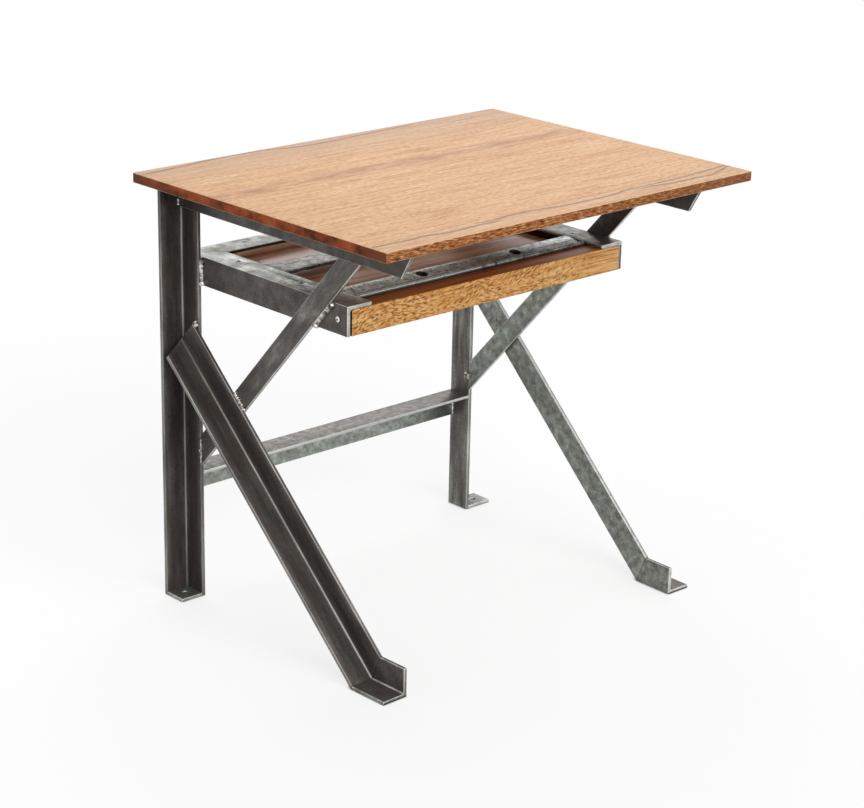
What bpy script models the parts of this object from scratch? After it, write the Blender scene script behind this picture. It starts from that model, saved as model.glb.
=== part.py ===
"""Writing desk welded from steel angle, with a wooden top and a shallow wood-lined tray under it.

Metres, +Z up, +X to the sitter's right, -Y towards the sitter. The origin is on the floor under the
middle of the top. Right-hand pieces are modelled with +X outboard, and left-hand ones mirror them.
"""
import math

import bmesh
import bpy
from mathutils import Matrix, Vector

# Wooden top
TOP_WIDTH = 0.824
TOP_DEPTH = 0.631
TOP_THICKNESS = 0.017
DESK_HEIGHT = 0.768
FRONT_STRIP_WIDTH = 0.051
REAR_STRIP_WIDTH = 0.036
TOP_ARRIS = 0.0012
TOP_END_OVERHANG = 0.03825

# Rolled equal angle that every frame member is cut from
ANGLE_LEG = 0.0508
ANGLE_WALL = 0.00635
ROOT_FILLET = 0.003
TOE_RADIUS = 0.002

# Posts and their foot plates
POST_REAR_INSET = 0.005
FOOT_PLATE_THICKNESS = 0.006
ANCHOR_HOLE_RADIUS = 0.005
RIGHT_PLATE_OVERHANG = 0.011

# Sloping legs, which toe in towards the front, and their feet
LEG_SLOPE = math.radians(43.3)
LEG_HEEL_SETBACK = 0.1253
LEG_FOOT_SETBACK = 0.0469
LEG_TOE_IN = 0.0105
LEG_WELD_ROOT = 0.0015
LEG_END_TRIM = 0.026

# Flat braces from the posts up to the top rails
BRACE_WIDTH = 0.0381
BRACE_THICKNESS = 0.00635
BRACE_SLOPE = math.radians(47.6)
BRACE_FOOT_HEIGHT = 0.2455
BRACE_TOP_CLEARANCE = 0.003

# Top rails and the low stretcher
RAIL_FRONT_SETBACK = 0.0295
RAIL_END_RAKE = math.radians(30.0)
RAIL_SCREW_COUNT = 3
RAIL_SCREW_END = 0.075
STRETCHER_HEIGHT = 0.2345

# Tray frame
STORAGE_HEIGHT = 0.131
TRAY_REACH_PAST_BRACE = 0.0574
TRAY_REAR_INSET = 0.004
BAR_THICKNESS = 0.0062
FRONT_BAR_SETBACK = 0.039
FRONT_BAR_WIDTH = 0.049
BAR_HOLE_RADIUS = 0.0103
BAR_HOLE_PITCH = 0.2155
BAR_HOLE_SHIFT = 0.0132
BAR_HOLE_REAR_MARGIN = 0.019
MIDDLE_BAR_WIDTH = 0.052
REAR_RECESS_SHARE = 0.44

# Wood lining of the tray
FRONT_BOARD_DEPTH = 0.044
FRONT_BOARD_LEFT_GAP = 0.0032
FRONT_BOARD_RIGHT_GAP = 0.0006
PANEL_THICKNESS = 0.020
PANEL_EDGE_GAP = 0.002
BATTEN_HEIGHT = 0.010
BATTEN_EDGE_INSET = 0.003

# Screws
SCREW_HEAD_RADIUS = 0.0042
SCREW_HEAD_HEIGHT = 0.0024
SCREW_SHANK_RADIUS = 0.0021
SCREW_BITE = 0.011
SCREW_HOLE_CLEARANCE = 0.0004
REAR_SCREW_SPREAD = 0.398
REAR_SCREW_MARGIN = 0.0065
LEFT_SCREW_SHARES = (0.32, 0.82)
RIGHT_SCREW_SHARES = (0.14, 0.77)

# Air left between pieces that touch
GAP = 0.0003

ROUND_STEPS = 12
HOLE_STEPS = 16
CORNER_STEPS = 3

# Places worked out from the sizes above
FRONT_EDGE = -TOP_DEPTH / 2
REAR_EDGE = TOP_DEPTH / 2
TOP_UNDERSIDE = DESK_HEIGHT - TOP_THICKNESS
RAIL_INBOARD = TOP_WIDTH / 2 - TOP_END_OVERHANG - ANGLE_LEG
POST_HALF = RAIL_INBOARD - GAP - ANGLE_WALL
POST_BACK = REAR_EDGE - POST_REAR_INSET
POST_FRONT = POST_BACK - ANGLE_LEG
REAR_FLANGE_FACE = POST_BACK - ANGLE_WALL
LEG_HEEL = FRONT_EDGE + LEG_HEEL_SETBACK
LEG_FOOT_FRONT = FRONT_EDGE + LEG_FOOT_SETBACK
LEG_INBOARD = POST_HALF + ANGLE_WALL + LEG_WELD_ROOT
TOE_ANGLE = math.atan2(LEG_TOE_IN, POST_FRONT - LEG_FOOT_FRONT)
LEG_LENGTH = (REAR_FLANGE_FACE - ROOT_FILLET / 2 - LEG_HEEL) / math.cos(LEG_SLOPE)
LEG_RUN = Vector((0, math.cos(LEG_SLOPE), math.sin(LEG_SLOPE)))
LEG_RISE = Vector((0, -math.sin(LEG_SLOPE), math.cos(LEG_SLOPE)))
BRACE_RUN = Vector((0, -math.cos(BRACE_SLOPE), math.sin(BRACE_SLOPE)))
BRACE_RISE = Vector((0, math.sin(BRACE_SLOPE), math.cos(BRACE_SLOPE)))
RAIL_REAR = REAR_FLANGE_FACE - ROOT_FILLET - GAP
RAIL_FRONT = FRONT_EDGE + RAIL_FRONT_SETBACK
TRAY_TOP = TOP_UNDERSIDE - STORAGE_HEIGHT
TRAY_BOTTOM = TRAY_TOP - ANGLE_LEG
TRAY_MIDDLE = (TRAY_TOP + TRAY_BOTTOM) / 2
BRACE_AT_TRAY = POST_FRONT - (TRAY_MIDDLE - BRACE_FOOT_HEIGHT) / math.tan(BRACE_SLOPE)
TRAY_FRONT = BRACE_AT_TRAY - TRAY_REACH_PAST_BRACE
TRAY_BACK = POST_BACK - TRAY_REAR_INSET
REAR_FLANGE_EDGE = TRAY_BACK - ANGLE_LEG
REAR_LINING_BACK = TRAY_BACK - ANGLE_WALL - ROOT_FILLET - GAP
FRONT_BAR_BACK = TRAY_FRONT + FRONT_BAR_SETBACK + FRONT_BAR_WIDTH
LINING_TOP = TRAY_TOP - max(ANGLE_WALL, BAR_THICKNESS) - GAP
BATTEN_BOTTOM = LINING_TOP - BATTEN_HEIGHT
PANEL_TOP = BATTEN_BOTTOM - GAP
FRONT_BOARD_BACK = TRAY_FRONT + FRONT_BOARD_DEPTH
BATTEN_FRONT = FRONT_BOARD_BACK + GAP
BATTEN_BACK = REAR_FLANGE_EDGE + BATTEN_EDGE_INSET

# The legs toe in, so the braces, and the tray between them, sit in from the posts by what that takes
# where the upper edge of a leg crosses the lower edge of a brace
LEG_EDGE_HEIGHT = ANGLE_LEG / math.cos(LEG_SLOPE) - LEG_HEEL * math.tan(LEG_SLOPE)
BRACE_EDGE_HEIGHT = BRACE_FOOT_HEIGHT + POST_FRONT * math.tan(BRACE_SLOPE)
CROSSING = (BRACE_EDGE_HEIGHT - LEG_EDGE_HEIGHT) / (math.tan(LEG_SLOPE) + math.tan(BRACE_SLOPE))
LEG_AT_CROSSING = LEG_INBOARD - (POST_FRONT - CROSSING) * math.tan(TOE_ANGLE)
BRACE_INBOARD = min(LEG_AT_CROSSING - BRACE_THICKNESS, POST_HALF) - GAP
TRAY_HALF = BRACE_INBOARD - GAP
TRAY_INNER = TRAY_HALF - ANGLE_WALL
FLANGE_EDGE = TRAY_HALF - ANGLE_LEG
LINING_HALF = TRAY_INNER - ROOT_FILLET - GAP

AXIS_X = Vector((1, 0, 0))
AXIS_Y = Vector((0, 1, 0))
AXIS_Z = Vector((0, 0, 1))
SIDES = {"left": -1, "right": 1}


def make_material(name, colour, roughness, metallic):
    material = bpy.data.materials.new(name)
    material.use_nodes = True
    shader = material.node_tree.nodes["Principled BSDF"]
    shader.inputs["Base Color"].default_value = (*colour, 1.0)
    shader.inputs["Roughness"].default_value = roughness
    shader.inputs["Metallic"].default_value = metallic
    return material


def make_group(name):
    group = bpy.data.objects.new(name, None)
    bpy.context.collection.objects.link(group)
    return group


def make_object(name, bm, material, parent=None):
    bmesh.ops.recalc_face_normals(bm, faces=bm.faces)
    mesh = bpy.data.meshes.new(name)
    bm.to_mesh(mesh)
    bm.free()
    obj = bpy.data.objects.new(name, mesh)
    obj.parent = parent
    if material:
        mesh.materials.append(material)
    bpy.context.collection.objects.link(obj)
    return obj


def arc(centre, radius, start, end):
    """Points of a corner's arc, with angles in degrees."""
    points = []
    for step in range(CORNER_STEPS + 1):
        angle = math.radians(start + (end - start) * step / CORNER_STEPS)
        points.append((centre[0] + radius * math.cos(angle), centre[1] + radius * math.sin(angle)))
    return points


def angle_outline():
    """Section of the rolled angle, with its heel at zero: square back, round toes and a filleted root."""
    toe = ANGLE_LEG - TOE_RADIUS
    shoulder = ANGLE_WALL - TOE_RADIUS
    root = ANGLE_WALL + ROOT_FILLET
    outline = [(0, 0), (ANGLE_LEG, 0)]
    outline += arc((toe, shoulder), TOE_RADIUS, 0, 90)
    outline += arc((root, root), ROOT_FILLET, 270, 180)
    outline += arc((shoulder, toe), TOE_RADIUS, 0, 90)
    outline.append((0, ANGLE_LEG))
    return outline


def add_prism(bm, outline, corner, first, second, run):
    """Extrude a flat outline, drawn along the first and second directions from a corner."""
    verts = [bm.verts.new(corner + first * a + second * b) for a, b in outline]
    face = bm.faces.new(verts)
    grown = bmesh.ops.extrude_face_region(bm, geom=[face])["geom"]
    moved = [item for item in grown if isinstance(item, bmesh.types.BMVert)]
    bmesh.ops.translate(bm, verts=moved, vec=run)


def angle_bar(corner, first, second, run):
    bm = bmesh.new()
    add_prism(bm, angle_outline(), corner, first, second, run)
    return bm


def block(low, high):
    bm = bmesh.new()
    size = Vector(high) - Vector(low)
    bmesh.ops.create_cube(bm, size=1.0)
    bmesh.ops.scale(bm, vec=size, verts=bm.verts)
    bmesh.ops.translate(bm, vec=(Vector(low) + Vector(high)) / 2, verts=bm.verts)
    return bm


def saw(bm, point, normal):
    """Cut away everything on the normal's side of a plane and close the cut."""
    bmesh.ops.recalc_face_normals(bm, faces=bm.faces)
    everything = bm.verts[:] + bm.edges[:] + bm.faces[:]
    cut = bmesh.ops.bisect_plane(bm, geom=everything, plane_co=point, plane_no=normal, clear_outer=True)
    edges = [item for item in cut["geom_cut"] if isinstance(item, bmesh.types.BMEdge)]
    bmesh.ops.edgeloop_fill(bm, edges=edges)


def mirror_to(bm, sign):
    bmesh.ops.scale(bm, vec=(sign, 1, 1), verts=bm.verts)
    return bm


def add_cylinder(bm, centre, axis, radius, length, steps):
    turn = AXIS_Z.rotation_difference(axis).to_matrix().to_4x4()
    matrix = Matrix.Translation(centre) @ turn
    bmesh.ops.create_cone(bm, cap_ends=True, segments=steps, radius1=radius, radius2=radius, depth=length,
                          matrix=matrix)


def drill(targets, cutter_name, holes, steps):
    """Bore a group of holes, each a (centre, axis, radius, length), through every target."""
    bm = bmesh.new()
    for centre, axis, radius, length in holes:
        add_cylinder(bm, centre, axis, radius, length, steps)
    cutter = make_object(cutter_name, bm, None)
    cutter.hide_render = True
    cutter.display_type = "WIRE"
    for target in targets:
        modifier = target.modifiers.new("holes", "BOOLEAN")
        modifier.operation = "DIFFERENCE"
        modifier.solver = "EXACT"
        modifier.object = cutter


def make_screw_mesh(name, length, material):
    """Pan-head screw with the underside of its head at zero and its shank along -Z."""
    profile = [(0, SCREW_HEAD_HEIGHT), (SCREW_HEAD_RADIUS * 0.72, SCREW_HEAD_HEIGHT),
               (SCREW_HEAD_RADIUS, SCREW_HEAD_HEIGHT * 0.45), (SCREW_HEAD_RADIUS, 0),
               (SCREW_SHANK_RADIUS, 0), (SCREW_SHANK_RADIUS, 2 * SCREW_SHANK_RADIUS - length), (0, -length)]
    bm = bmesh.new()
    verts = [bm.verts.new((radius, 0, height)) for radius, height in profile]
    edges = [bm.edges.new(pair) for pair in zip(verts, verts[1:])]
    bmesh.ops.spin(bm, geom=verts + edges, cent=(0, 0, 0), axis=AXIS_Z, dvec=(0, 0, 0),
                   angle=2 * math.pi, steps=ROUND_STEPS, use_merge=True)
    bmesh.ops.remove_doubles(bm, verts=bm.verts, dist=1e-6)
    bmesh.ops.recalc_face_normals(bm, faces=bm.faces)
    mesh = bpy.data.meshes.new(name)
    bm.to_mesh(mesh)
    bm.free()
    mesh.shade_smooth()
    mesh.set_sharp_from_angle(angle=math.radians(40))
    mesh.materials.append(material)
    return mesh


def build_post(side, sign):
    run = AXIS_Z * (TOP_UNDERSIDE - GAP)
    bm = angle_bar(Vector((POST_HALF, POST_BACK, 0)), AXIS_X, -AXIS_Y, run)
    make_object(f"{side}_post", mirror_to(bm, sign), STEEL, FRAME)


def build_post_foot(side, sign):
    inner = RAIL_INBOARD
    outer = POST_HALF + ANGLE_LEG
    across = POST_HALF + (ANGLE_WALL + ANGLE_LEG) / 2
    if side == "right":
        outer += RIGHT_PLATE_OVERHANG
        across += RIGHT_PLATE_OVERHANG
    rear = REAR_FLANGE_FACE - GAP
    bm = block((inner, POST_FRONT, 0), (outer, rear, FOOT_PLATE_THICKNESS))
    root = Vector((inner + ROOT_FILLET, rear, 0))
    saw(bm, root, Vector((-1, 1, 0)))
    plate = make_object(f"{side}_post_foot", mirror_to(bm, sign), STEEL, FRAME)
    hole = Vector((sign * across, (POST_FRONT + REAR_FLANGE_FACE) / 2, 0))
    drill([plate], f"{side}_anchor_hole", [(hole, AXIS_Z, ANCHOR_HOLE_RADIUS, 4 * FOOT_PLATE_THICKNESS)],
          HOLE_STEPS)


def mitre_plane(shift):
    """Plane between the leg and its foot, moved along the foot by a shift."""
    heel = Vector((0, LEG_HEEL + shift - POST_FRONT, 0))
    normal = (LEG_RUN + AXIS_Y).normalized()
    return heel, normal


def toe_in(obj, sign):
    """Hang a leg's piece from the upright line where it meets the post, turned towards the middle."""
    obj.location = (sign * LEG_INBOARD, POST_FRONT, 0)
    obj.rotation_euler = (0, 0, -sign * TOE_ANGLE)


def build_leg(side, sign):
    heel = Vector((0, LEG_HEEL - POST_FRONT, 0))
    bm = angle_bar(heel - LEG_RUN * ANGLE_LEG, AXIS_X, LEG_RISE, LEG_RUN * (LEG_LENGTH + ANGLE_LEG))
    point, normal = mitre_plane(GAP / 2)
    saw(bm, point, -normal)
    trim_corner = heel + LEG_RUN * LEG_LENGTH + AXIS_X * ANGLE_WALL
    trim_normal = LEG_RUN * (ANGLE_LEG - ANGLE_WALL) + AXIS_X * LEG_END_TRIM
    saw(bm, trim_corner, trim_normal)
    toe_in(make_object(f"{side}_leg", mirror_to(bm, sign), STEEL, FRAME), sign)


def build_leg_foot(side, sign):
    front = Vector((0, LEG_FOOT_FRONT - POST_FRONT, 0))
    bm = angle_bar(front, AXIS_X, AXIS_Z, AXIS_Y * (LEG_HEEL - LEG_FOOT_FRONT + ANGLE_LEG))
    point, normal = mitre_plane(-GAP / 2)
    saw(bm, point, normal)
    toe_in(make_object(f"{side}_leg_foot", mirror_to(bm, sign), STEEL, FRAME), sign)


def build_brace(side, sign):
    tip = Vector((BRACE_INBOARD, POST_FRONT, BRACE_FOOT_HEIGHT))
    length = (DESK_HEIGHT - BRACE_FOOT_HEIGHT) / math.sin(BRACE_SLOPE)
    outline = [(0, 0), (BRACE_THICKNESS, 0), (BRACE_THICKNESS, BRACE_WIDTH), (0, BRACE_WIDTH)]
    bm = bmesh.new()
    start = tip - BRACE_RUN * 2 * BRACE_WIDTH
    add_prism(bm, outline, start, AXIS_X, BRACE_RISE, BRACE_RUN * (length + 3 * BRACE_WIDTH))
    saw(bm, tip - AXIS_Y * GAP, AXIS_Y)
    saw(bm, Vector((0, 0, TOP_UNDERSIDE - BRACE_TOP_CLEARANCE)), AXIS_Z)
    make_object(f"{side}_brace", mirror_to(bm, sign), STEEL, FRAME)


def build_top_rail(side, sign):
    top = TOP_UNDERSIDE - GAP
    rake = ANGLE_LEG * math.tan(RAIL_END_RAKE)
    bm = angle_bar(Vector((RAIL_INBOARD, RAIL_REAR, top)), AXIS_X, -AXIS_Z,
                   AXIS_Y * (RAIL_FRONT - rake - RAIL_REAR))
    saw(bm, Vector((0, RAIL_FRONT, top)), Vector((0, -math.cos(RAIL_END_RAKE), -math.sin(RAIL_END_RAKE))))
    return make_object(f"{side}_top_rail", mirror_to(bm, sign), STEEL, FRAME)


def build_stretcher():
    reach = POST_HALF - GAP
    bm = angle_bar(Vector((-reach, POST_BACK, STRETCHER_HEIGHT)), -AXIS_Y, -AXIS_Z, AXIS_X * 2 * reach)
    make_object("stretcher", bm, STEEL, FRAME)


def build_tray_side_rail(side, sign):
    bm = angle_bar(Vector((TRAY_HALF, TRAY_FRONT, TRAY_TOP)), -AXIS_X, -AXIS_Z,
                   AXIS_Y * (TRAY_BACK - TRAY_FRONT))
    saw(bm, Vector((TRAY_HALF, TRAY_BACK - GAP * math.sqrt(2), 0)), Vector((-1, 1, 0)))
    return make_object(f"tray_{side}_rail", mirror_to(bm, sign), STEEL, TRAY)


def build_tray_rear_rail():
    bm = angle_bar(Vector((-TRAY_HALF, TRAY_BACK, TRAY_TOP)), -AXIS_Y, -AXIS_Z, AXIS_X * 2 * TRAY_HALF)
    for sign in SIDES.values():
        saw(bm, Vector((sign * TRAY_HALF, TRAY_BACK, 0)), Vector((sign, -1, 0)))
    return make_object("tray_rear_rail", bm, STEEL, TRAY)


def build_tray_bar(name, back, width):
    reach = FLANGE_EDGE - GAP
    bm = block((-reach, back - width, TRAY_TOP - BAR_THICKNESS), (reach, back, TRAY_TOP))
    return make_object(name, bm, WORN_STEEL, TRAY)


def build_tray_bars():
    bar = build_tray_bar("tray_front_bar", FRONT_BAR_BACK, FRONT_BAR_WIDTH)
    centre = FRONT_BAR_BACK - BAR_HOLE_REAR_MARGIN
    holes = []
    for sign in SIDES.values():
        place = Vector((BAR_HOLE_SHIFT + sign * BAR_HOLE_PITCH / 2, centre, TRAY_TOP))
        holes.append((place, AXIS_Z, BAR_HOLE_RADIUS, 4 * BAR_THICKNESS))
    drill([bar], "tray_front_bar_holes", holes, HOLE_STEPS)
    rear_recess = (REAR_FLANGE_EDGE - FRONT_BAR_BACK - MIDDLE_BAR_WIDTH) * REAR_RECESS_SHARE
    build_tray_bar("tray_middle_bar", REAR_FLANGE_EDGE - rear_recess, MIDDLE_BAR_WIDTH)


def build_front_board():
    low = (-(TRAY_INNER - FRONT_BOARD_LEFT_GAP), TRAY_FRONT, TRAY_BOTTOM)
    high = (TRAY_INNER - FRONT_BOARD_RIGHT_GAP, FRONT_BOARD_BACK, LINING_TOP)
    bm = block(low, high)
    for x, sign in ((low[0], -1), (high[0], 1)):
        saw(bm, Vector((x - sign * ROOT_FILLET, 0, LINING_TOP)), Vector((sign, 0, 1)))
    return make_object("tray_front_board", bm, TRAY_WOOD, TRAY)


def build_battens():
    inner = FLANGE_EDGE + BATTEN_EDGE_INSET
    battens = []
    for side, sign in SIDES.items():
        bm = block((inner, BATTEN_FRONT, BATTEN_BOTTOM), (LINING_HALF, BATTEN_BACK, LINING_TOP))
        battens.append(make_object(f"tray_{side}_batten", mirror_to(bm, sign), TRAY_WOOD, TRAY))
    bm = block((-LINING_HALF, BATTEN_BACK + GAP, BATTEN_BOTTOM), (LINING_HALF, REAR_LINING_BACK, LINING_TOP))
    battens.append(make_object("tray_rear_batten", bm, TRAY_WOOD, TRAY))
    return battens


def build_panel():
    half = TRAY_INNER - PANEL_EDGE_GAP
    back = TRAY_BACK - ANGLE_WALL - PANEL_EDGE_GAP
    bm = block((-half, BATTEN_FRONT, PANEL_TOP - PANEL_THICKNESS), (half, back, PANEL_TOP))
    return make_object("tray_panel", bm, TRAY_WOOD, TRAY)


def build_screws(name, seats, length, material, group, targets):
    """Screws with their holes: each seat is a label, the point under the head and the way into the work."""
    mesh = make_screw_mesh(name, length, material)
    holes = []
    for label, seat, axis in seats:
        screw = bpy.data.objects.new(f"{name}_{label}", mesh)
        screw.location = seat - axis * GAP
        screw.rotation_euler = (-AXIS_Z).rotation_difference(axis).to_euler()
        screw.parent = group
        bpy.context.collection.objects.link(screw)
        reach = length + 2 * SCREW_HOLE_CLEARANCE + GAP
        centre = seat + axis * (reach / 2 - GAP)
        holes.append((centre, axis, SCREW_SHANK_RADIUS + SCREW_HOLE_CLEARANCE, reach))
    drill(targets, f"{name}_holes", holes, ROUND_STEPS)


def flange_screw_seats():
    """Seats on top of the flanges: shares of the side battens' length, and a pair at the back."""
    middle = (FLANGE_EDGE + LINING_HALF) / 2
    seats = []
    for side, shares in (("left", LEFT_SCREW_SHARES), ("right", RIGHT_SCREW_SHARES)):
        for number, share in enumerate(shares, 1):
            depth = BATTEN_FRONT + (BATTEN_BACK - BATTEN_FRONT) * share
            seats.append((f"{side}_{number}", Vector((SIDES[side] * middle, depth, TRAY_TOP)), -AXIS_Z))
    for side, sign in SIDES.items():
        seat = Vector((sign * REAR_SCREW_SPREAD / 2, REAR_LINING_BACK - REAR_SCREW_MARGIN, TRAY_TOP))
        seats.append((f"rear_{side}", seat, -AXIS_Z))
    return seats


def board_screw_seats():
    """Seats on the outer faces of the side rails, in the middle of the front board's ends."""
    seats = []
    for side, sign in SIDES.items():
        seat = Vector((sign * TRAY_HALF, TRAY_FRONT + FRONT_BOARD_DEPTH / 2, TRAY_MIDDLE))
        seats.append((side, seat, -sign * AXIS_X))
    return seats


def build_tray():
    rails = [build_tray_side_rail(side, sign) for side, sign in SIDES.items()]
    rear_rail = build_tray_rear_rail()
    build_tray_bars()
    front_board = build_front_board()
    lining = [*build_battens(), build_panel()]
    flange_length = TRAY_TOP - PANEL_TOP + SCREW_BITE
    build_screws("tray_flange_screw", flange_screw_seats(), flange_length, SCREW_STEEL, TRAY,
                 [*rails, rear_rail, *lining])
    board_length = ANGLE_WALL + max(FRONT_BOARD_LEFT_GAP, FRONT_BOARD_RIGHT_GAP) + SCREW_BITE
    build_screws("tray_board_screw", board_screw_seats(), board_length, ZINC, TRAY, [*rails, front_board])


def is_outer_arris(edge):
    """Whether a board's level edge lies on the outline of the whole top."""
    middle = (edge.verts[0].co + edge.verts[1].co) / 2
    at_end = abs(abs(middle.x) - TOP_WIDTH / 2) < GAP
    at_side = abs(abs(middle.y) - TOP_DEPTH / 2) < GAP
    upright = abs(middle.z - (DESK_HEIGHT + TOP_UNDERSIDE) / 2) < GAP
    return (at_end or at_side) and not upright


def build_board(name, front, back):
    """One board of the top, with its outer edges eased and its glued edges left square."""
    bm = block((-TOP_WIDTH / 2, front, TOP_UNDERSIDE), (TOP_WIDTH / 2, back, DESK_HEIGHT))
    arrises = [edge for edge in bm.edges if is_outer_arris(edge)]
    bmesh.ops.bevel(bm, geom=arrises, offset=TOP_ARRIS, offset_type="OFFSET", affect="EDGES", segments=2,
                    profile=0.5, material=-1)
    return make_object(name, bm, TOP_WOOD, TOP)


def top_screw_seats():
    """Seats under the top rails' flanges, evenly spread between the rails' ends."""
    across = RAIL_INBOARD + (ANGLE_WALL + ANGLE_LEG) / 2
    first = RAIL_FRONT + RAIL_SCREW_END
    step = (RAIL_REAR - RAIL_SCREW_END - first) / (RAIL_SCREW_COUNT - 1)
    seats = []
    for side, sign in SIDES.items():
        for number in range(RAIL_SCREW_COUNT):
            seat = Vector((sign * across, first + step * number, TOP_UNDERSIDE - GAP - ANGLE_WALL))
            seats.append((f"{side}_{number + 1}", seat, AXIS_Z))
    return seats


def build_top(rails):
    front_joint = FRONT_EDGE + FRONT_STRIP_WIDTH
    rear_joint = REAR_EDGE - REAR_STRIP_WIDTH
    boards = [
        build_board("top_front_strip", FRONT_EDGE, front_joint - GAP / 2),
        build_board("top_panel", front_joint + GAP / 2, rear_joint - GAP / 2),
        build_board("top_rear_strip", rear_joint + GAP / 2, REAR_EDGE),
    ]
    length = ANGLE_WALL + GAP + SCREW_BITE
    build_screws("top_screw", top_screw_seats(), length, SCREW_STEEL, TOP, [*rails, *boards])


def build_desk():
    rails = []
    for side, sign in SIDES.items():
        build_post(side, sign)
        build_post_foot(side, sign)
        build_leg(side, sign)
        build_leg_foot(side, sign)
        build_brace(side, sign)
        rails.append(build_top_rail(side, sign))
    build_stretcher()
    build_tray()
    build_top(rails)


for old in list(bpy.data.objects):
    bpy.data.objects.remove(old, do_unlink=True)

STEEL = make_material("mill_steel", (0.16, 0.16, 0.16), 0.38, 1.0)
WORN_STEEL = make_material("pitted_steel", (0.20, 0.20, 0.20), 0.55, 1.0)
SCREW_STEEL = make_material("dark_screw_steel", (0.12, 0.12, 0.12), 0.45, 1.0)
ZINC = make_material("zinc_plated_screw", (0.70, 0.72, 0.74), 0.25, 1.0)
TOP_WOOD = make_material("oiled_top_wood", (0.56, 0.32, 0.16), 0.40, 0.0)
TRAY_WOOD = make_material("golden_tray_wood", (0.52, 0.28, 0.09), 0.45, 0.0)

FRAME = make_group("frame")
TRAY = make_group("tray")
TOP = make_group("top")

build_desk()
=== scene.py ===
# %% [markdown]
# A steel desk, dressed for its picture.
# The real desk is a frame of heavy steel angle, welded and waxed, with a wooden top screwed to it and a
# shallow wooden tray held in a second frame of angle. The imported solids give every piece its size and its
# place, so this lesson never measures the desk again: it asks each solid where it is, and then gives it
# edges, welds and finishes.

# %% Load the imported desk
import math
import random

import bmesh
import bpy
from mathutils import Matrix, Vector, noise


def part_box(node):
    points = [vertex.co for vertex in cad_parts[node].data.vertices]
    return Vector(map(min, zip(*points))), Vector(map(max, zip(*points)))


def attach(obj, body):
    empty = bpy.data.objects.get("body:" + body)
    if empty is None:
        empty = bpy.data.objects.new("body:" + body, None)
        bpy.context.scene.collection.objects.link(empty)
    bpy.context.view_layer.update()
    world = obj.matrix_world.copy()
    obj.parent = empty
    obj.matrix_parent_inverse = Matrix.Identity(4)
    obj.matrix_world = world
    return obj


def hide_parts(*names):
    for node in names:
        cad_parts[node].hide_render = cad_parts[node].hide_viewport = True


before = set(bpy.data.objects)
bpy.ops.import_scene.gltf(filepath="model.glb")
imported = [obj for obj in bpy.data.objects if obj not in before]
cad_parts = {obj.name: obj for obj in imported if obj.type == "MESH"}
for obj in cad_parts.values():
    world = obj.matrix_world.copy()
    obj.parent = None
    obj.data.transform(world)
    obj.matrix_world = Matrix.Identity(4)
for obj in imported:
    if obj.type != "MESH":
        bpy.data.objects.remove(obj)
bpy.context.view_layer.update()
print("solids loaded:", len(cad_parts))

# %% [markdown]
# A few small helpers serve every finish. Colours are written as sRGB hex values, as a paint card gives them,
# but shaders work in linear light, so one function turns the first into the second. Another adds one node,
# with its settings and its links, because a long row of nodes reads best as one line for each.

# %% Helpers for colours and nodes
MM = 0.001


def linear(hex_colour):
    channels = [int(hex_colour[i:i + 2], 16) / 255 for i in (1, 3, 5)]
    bent = [c / 12.92 if c <= 0.04045 else ((c + 0.055) / 1.055) ** 2.4 for c in channels]
    return (*bent, 1.0)


def add(tree, kind, inputs=None, stops=None, points=None, **settings):
    node = tree.nodes.new(kind)
    for field, value in settings.items():
        setattr(node, field, value)
    if stops:
        ramp = node.color_ramp.elements
        while len(ramp) < len(stops):
            ramp.new(1.0)
        for element, (place, value) in zip(ramp, stops):
            element.position = place
            element.color = linear(value)
    if points:
        curve = node.mapping.curves[0]
        while len(curve.points) < len(points):
            curve.points.new(0.5, 0.5)
        for dot, place in zip(curve.points, points):
            dot.location = place
        node.mapping.update()
    for socket, value in (inputs or {}).items():
        if isinstance(value, bpy.types.NodeSocket):
            tree.links.new(value, node.inputs[socket])
        else:
            node.inputs[socket].default_value = value
    return node


print("a mid grey of #808080 is", round(linear("#808080")[0], 3), "in linear light")

# %% [markdown]
# Most finishes are built alike. They start from a few numbers that the faces carry, lay stains over a ground
# colour wherever some pattern is strong, and end with the same three links: colour, gloss and relief. Gloss
# is never even on a used surface, so it follows one of the patterns, and so does the relief.

# %% Helpers that start, stain and close a finish
# A noise seldom leaves this range, so the gloss changes over it
NOISE_LOW = 0.3
NOISE_HIGH = 0.7


def new_finish(name):
    material = bpy.data.materials.new(name)
    material.use_nodes = True
    tree = material.node_tree
    return material, tree, tree.nodes["Principled BSDF"]


def numbers_on_faces(tree, *names):
    return [add(tree, "ShaderNodeAttribute", attribute_name=name).outputs["Fac"] for name in names]


def stain(tree, colour, tint, pattern, start, full, most):
    # No tint where the pattern is at start, and the most of it where the pattern reaches full
    share = add(tree, "ShaderNodeMapRange", {0: pattern, 1: start, 2: full, 3: 0.0, 4: most}).outputs[0]
    return add(tree, "ShaderNodeMix", {0: share, 6: colour, 7: linear(tint)}, data_type="RGBA").outputs[2]


def close_finish(tree, shader, colour, pattern, rough_low, rough_high, height=None, strength=0.0, depth=0.0):
    tree.links.new(colour, shader.inputs["Base Color"])
    gloss = add(tree, "ShaderNodeMapRange", {0: pattern, 1: NOISE_LOW, 2: NOISE_HIGH, 3: rough_low,
                                             4: rough_high})
    tree.links.new(gloss.outputs[0], shader.inputs["Roughness"])
    if height is not None:
        relief = add(tree, "ShaderNodeBump", {"Strength": strength, "Distance": depth, "Height": height})
        tree.links.new(relief.outputs[0], shader.inputs["Normal"])


print("gloss follows each pattern from", NOISE_LOW, "to", NOISE_HIGH)

# %% [markdown]
# The camera stands where the photograph was taken from: to the left of the desk, in front of it and above it,
# with a long lens, so that lines which run away from us hardly come together. Its place and its turn were
# worked out from the corners of the desk. A camera looks along its own minus Z, so its three axes are built
# from the line of sight.

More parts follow.
